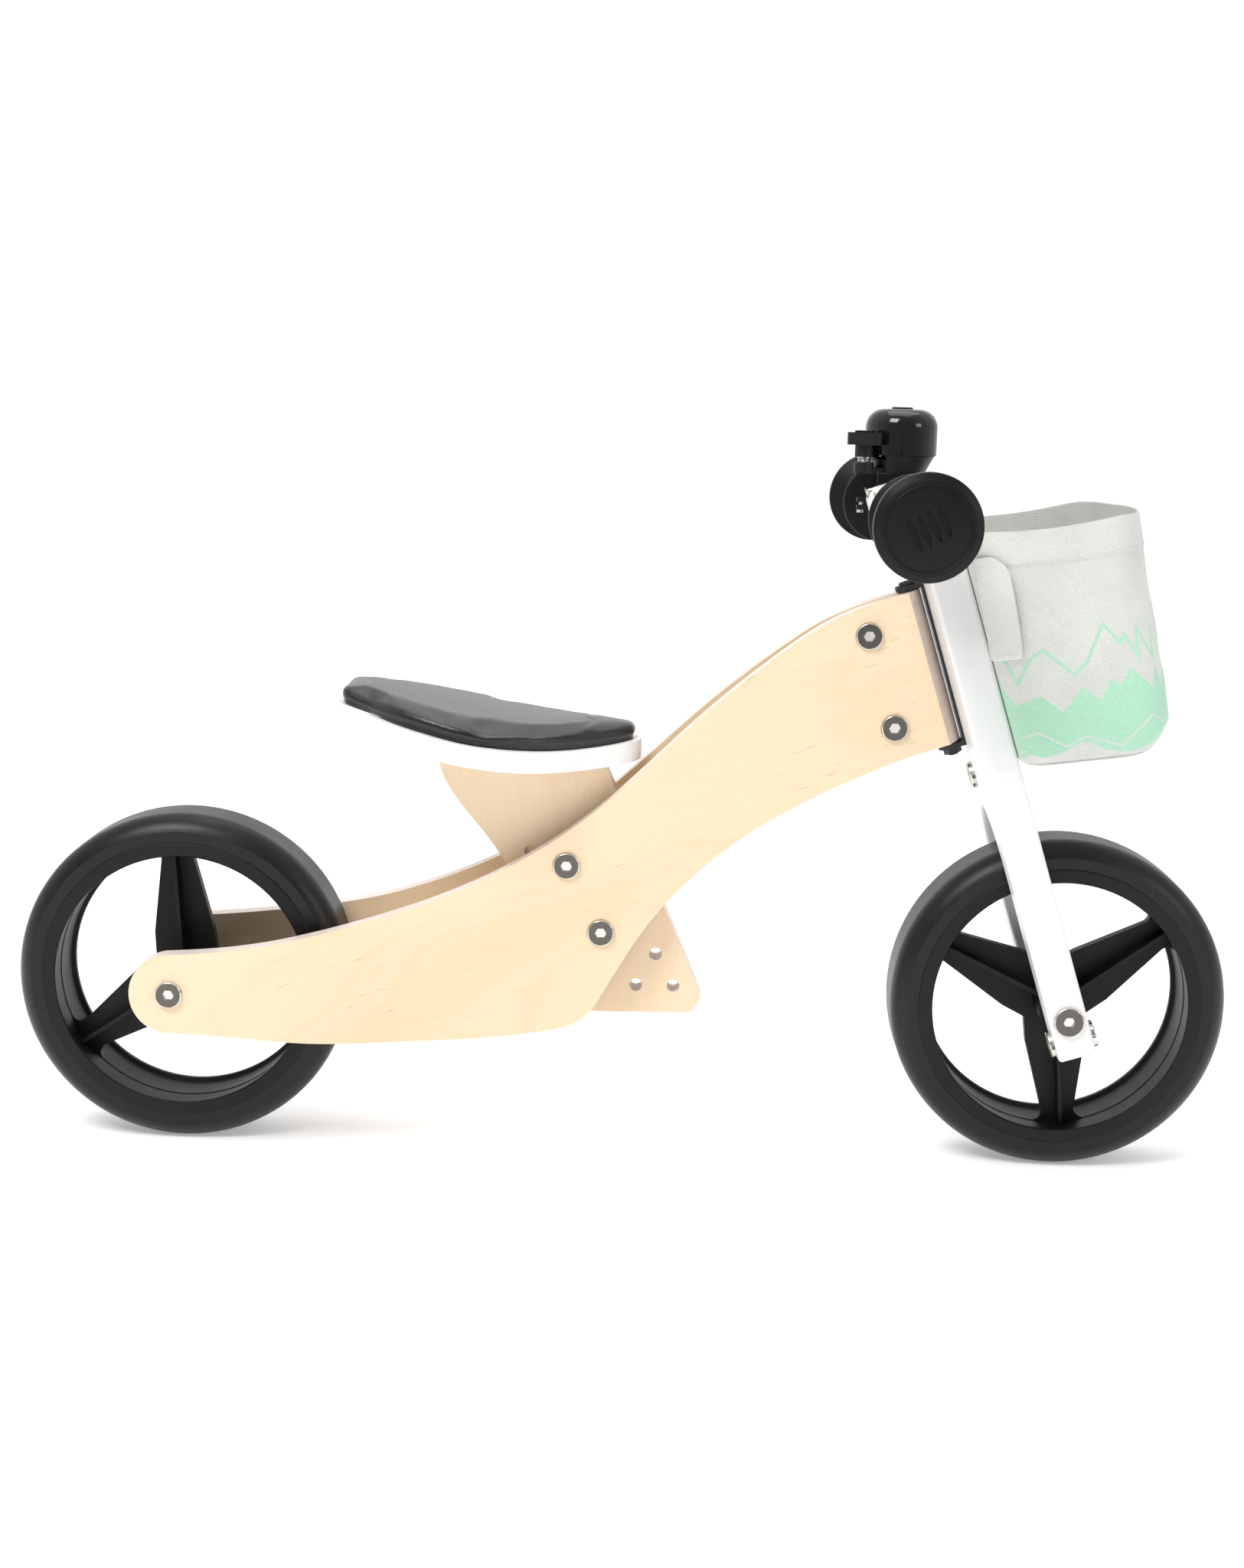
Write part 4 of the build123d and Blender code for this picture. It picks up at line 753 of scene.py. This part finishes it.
def hem_height(ring, index):
    """Height of the seam between the sides and the bottom panel."""
    arc = index / AROUND * 500.0
    fold = arc % (2 * PRINT_REACH)
    fold = min(fold, 2 * PRINT_REACH - fold)
    return float(np.interp(fold, *zip(*HEM_LINE)))


def make_bag(materials):
    """Sewn bucket: one cloth shell with a rounded bottom, a folded hem and a seam round its foot."""
    heights = [0.6, 1.8, 3.2] + list(np.arange(5.0, 124.6, 2.5)) + [124.9, 125.6, 127.5]
    heights += list(np.arange(130.0, 147.0, 2.5)) + [146.2, 147.0]
    points, uvs = [], []
    centre = np.array((44.0, 0.0))
    base = basket_ring(0.0)
    length = np.linalg.norm(np.diff(np.vstack([base, base[:1]]), axis=0), axis=1).sum()
    for share in np.linspace(0.04, 0.90, 12):
        drop = -0.8 + 1.6 * share ** 2
        for a, y in centre + (base - centre) * share:
            points.append(basket_point(a, y, drop + 0.8))
            uvs.append((a * MM, -0.05 + y * MM * 0.1))
    for draw, rise in ((5.0, 1.2), (2.4, 2.2)):
        for a, y in basket_ring(0.0, draw):
            points.append(basket_point(a, y, rise - 0.8))
            uvs.append((a * MM, -0.02))
    for b in heights:
        ring = basket_ring(max(b, 3.0), max(0.0, 1.5 - b * 0.4))
        points += bag_shape(max(b, 2.6), ring)
        arc = np.arange(AROUND) / AROUND * length
        uvs += [(s * MM, b * MM) for s in arc]
    rows = len(points) // AROUND
    faces = grid_faces(rows, AROUND, wrap=True)
    faces.append(tuple(range(AROUND - 1, -1, -1)))
    bag = mesh_object("basket_bag_cloth", points, faces)
    layer = bag.data.uv_layers.new(name="UVMap")
    for polygon in bag.data.polygons:
        columns = [v % AROUND for v in polygon.vertices]
        wraps = len(columns) == 4 and 0 in columns and AROUND - 1 in columns
        for corner, index in zip(polygon.loop_indices, polygon.vertices):
            u, v = uvs[index]
            if wraps and index % AROUND == 0 and index // AROUND >= rows - len(heights):
                u = length * MM
            layer.data[corner].uv = (u, v)
    add_modifier(bag, "SOLIDIFY", thickness=1.1 * MM, offset=-1.0, use_even_offset=False,
                 material_offset=1, material_offset_rim=0)
    cloths = [materials["bag_fabric"], materials["bag_lining"]]
    finish_piece(bag, cloths, "steering")
    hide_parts("basket_bag")
    return bag


def stitch_row(name, path, outward, material, length=2.6, gap=1.2, thick=0.34):
    """Row of raised stitches along a path, each a short lens of thread."""
    path = np.array(path, float)
    outward = np.array(outward, float)
    arc = np.concatenate([[0], np.cumsum(np.linalg.norm(np.diff(path, axis=0), axis=1))])
    points, faces = [], []
    place = gap
    while place + length < arc[-1]:
        marks = [place, place + length * 0.25, place + length * 0.75, place + length]
        line = [np.array([np.interp(m, arc, path[:, k]) for k in range(3)]) for m in marks]
        up = np.array([np.interp(place, arc, outward[:, k]) for k in range(3)])
        up /= np.linalg.norm(up)
        ahead = line[-1] - line[0]
        ahead /= np.linalg.norm(ahead)
        side = np.cross(ahead, up)
        first = len(points)
        for spot, wide in zip(line, (0.35, 1.0, 1.0, 0.35)):
            for turn in range(6):
                angle = math.pi / 3 * turn
                offset = side * math.cos(angle) * thick * wide + up * (math.sin(angle) * thick * wide)
                points.append(tuple(spot + offset + up * thick * 0.45 * wide))
        for ring in range(3):
            for turn in range(6):
                a = first + ring * 6 + turn
                b = first + ring * 6 + (turn + 1) % 6
                faces.append((a, b, b + 6, a + 6))
        faces.append(tuple(first + turn for turn in range(5, -1, -1)))
        faces.append(tuple(first + 18 + turn for turn in range(6)))
        place += length + gap
    row = mesh_object(name, points, faces)
    return finish_piece(row, material, "steering")


def hem_stitches(materials):
    """Stitch line below the folded hem, all round but for the back."""
    b = BASKET_HEIGHT - HEM_HEIGHT + 1.4
    ring = basket_ring(b)
    spots = bag_shape(b, ring)
    keep = [i for i in range(AROUND) if ring[i][0] > -BACK_SLOPE * b + 9]
    path = [spots[i] for i in keep]
    outward = [BASKET_OUT * (ring[i][0] - 42) + Vector((0, ring[i][1], 0)) for i in keep]
    outward = [w.normalized() for w in outward]
    return stitch_row("basket_hem_stitches", path, outward, materials["thread"])


def flap_points(side, lift):
    """Grid of one closing flap on the bag's side, next to the fork."""
    rows = []
    for share in np.linspace(0, 1, 22):
        b = 68 + (131 - 68) * share
        left = -15.2 - 6.0 * share
        right = 3.6 - 5.0 * share ** 1.6
        if share > 0.8:
            right -= 9.0 * ((share - 0.8) / 0.2) ** 2.2
        line = []
        for across in np.linspace(0, 1, 10):
            a = left + (right - left) * across
            curl = 0.9 * across ** 6 + 0.5 * math.sin(share * 5.0) * across
            tuck = 5.0 * (1 - across) ** 3
            line.append(basket_point(a, side * (BASKET_HALF + lift + curl - tuck), b))
        rows.append(line)
    return rows


def make_flap(name, side, materials):
    """Folded closing flap, with a stitch line along its edge."""
    rows = flap_points(side, 3.0)
    points = [p for row in rows for p in row]
    faces = grid_faces(len(rows), len(rows[0]))
    if side > 0:
        faces = [face[::-1] for face in faces]
    flap = mesh_object(name, points, faces)
    layer = flap.data.uv_layers.new(name="UVMap")
    for loop in flap.data.loops:
        co = flap.data.vertices[loop.vertex_index].co
        layer.data[loop.index].uv = (co.x, co.z)
    add_modifier(flap, "SOLIDIFY", thickness=1.5 * MM, offset=0.0)
    add_modifier(flap, "SUBSURF", levels=1, render_levels=1)
    finish_piece(flap, materials["bag_lining"], "steering")
    edge = [rows[i][8] for i in range(1, 20)]
    foot = [rows[1][j] for j in range(8, 1, -1)]
    path = foot[::-1] + edge[1:]
    outward = [Vector((0, side, 0))] * len(path)
    path = [p + Vector((0, side * 0.75, 0)) for p in path]
    sewn = stitch_row(name + "_stitches", path, outward, materials["thread"], 2.2, 1.0, 0.28)
    return [flap, sewn]


def make_strap(side, points, faces):
    """Adds one loop of webbing: round the bar and down inside the bag's back."""
    low, high = 60.8, 71.0
    outer = BAR_RADIUS + 0.25
    centre = np.array((-BAR_BACK, BAR_HEIGHT))
    path = [(11.7, BAR_HEIGHT - 30), (12.0, BAR_HEIGHT - 16), (9.5, BAR_HEIGHT - 2),
            (3.0, BAR_HEIGHT + 7.5)]
    for turn in np.linspace(62, 395, 40):
        angle = math.radians(turn)
        grow = outer + (1.4 if turn > 330 else 0.0)
        path.append(tuple(centre + grow * np.array((math.cos(angle), math.sin(angle)))))
    line = resample(np.array(path), 90)
    ahead = np.gradient(line, axis=0)
    ahead /= np.linalg.norm(ahead, axis=1)[:, None]
    out = np.stack([ahead[:, 1], -ahead[:, 0]], axis=1)
    first = len(points)
    thick = 1.2
    for (u, t), (du, dt) in zip(line, out):
        for y, grow in ((low, 0.0), (high, 0.0), (high, thick), (low, thick)):
            spot = FRONT_AXLE + FORWARD * (u + du * grow) + UPWARD * (t + dt * grow)
            points.append((spot.x, side * y, spot.z))
    for row in range(len(line) - 1):
        for k in range(4):
            a = first + row * 4 + k
            b = first + row * 4 + (k + 1) % 4
            face = (a, b, b + 4, a + 4)
            faces.append(face if side > 0 else face[::-1])
    for end, flip in ((first, side > 0), (first + 4 * (len(line) - 1), side < 0)):
        face = (end, end + 1, end + 2, end + 3)
        faces.append(face[::-1] if flip else face)


def make_basket(materials):
    """Bag, stitching, flaps and straps."""
    bag = make_bag(materials)
    extras = [hem_stitches(materials)]
    for name, side in (("basket_flap_right", -1), ("basket_flap_left", 1)):
        extras += make_flap(name, side, materials)
    points, faces = [], []
    for side in (-1, 1):
        make_strap(side, points, faces)
    straps = mesh_object("basket_strap_webbing", points, faces, smooth=False)
    layer = straps.data.uv_layers.new(name="UVMap")
    for loop in straps.data.loops:
        co = straps.data.vertices[loop.vertex_index].co
        layer.data[loop.index].uv = (co.y, co.z)
    add_modifier(straps, "BEVEL", width=0.35 * MM, segments=2)
    finish_piece(straps, materials["bag_lining"], "steering")
    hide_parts("basket_straps")


# ---- bell spring ----
def make_bell_spring(materials):
    """Torsion spring of the bell's lever: three close turns of wire."""
    turns, radius, wire = 3, 3.8, 0.32
    low, high = -4.5, -2.7
    steps = 28 * turns
    points, faces = [], []
    for step in range(steps + 1):
        angle = 2 * math.pi * turns * step / steps
        centre = Vector((math.cos(angle), math.sin(angle), 0)) * radius
        centre.z = low + (high - low) * step / steps
        out = Vector((math.cos(angle), math.sin(angle), 0))
        for turn in range(8):
            around = 2 * math.pi * turn / 8
            spot = centre + out * wire * math.cos(around) + Vector((0, 0, 1)) * wire * math.sin(around)
            points.append(LEVER_AXIS + spot)
    faces = grid_faces(steps + 1, 8, wrap=True)
    faces.append(tuple(range(8)))
    faces.append(tuple(range(steps * 8 + 7, steps * 8 - 1, -1)))
    spring = mesh_object("bell_spring_coil", points, faces)
    finish_piece(spring, materials["bolt_steel"], "steering")
    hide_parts("bell_spring")


# ---- the whole ----
def main():
    make_camera()
    make_studio()
    materials = make_materials()
    dress_cad_nodes(materials)
    make_seat_pad(materials)
    make_basket(materials)
    make_bell_spring(materials)
    scene = bpy.context.scene
    scene.view_settings.view_transform = "Standard"
    scene.view_settings.look = "None"
    scene.view_settings.exposure = 0.26


main()
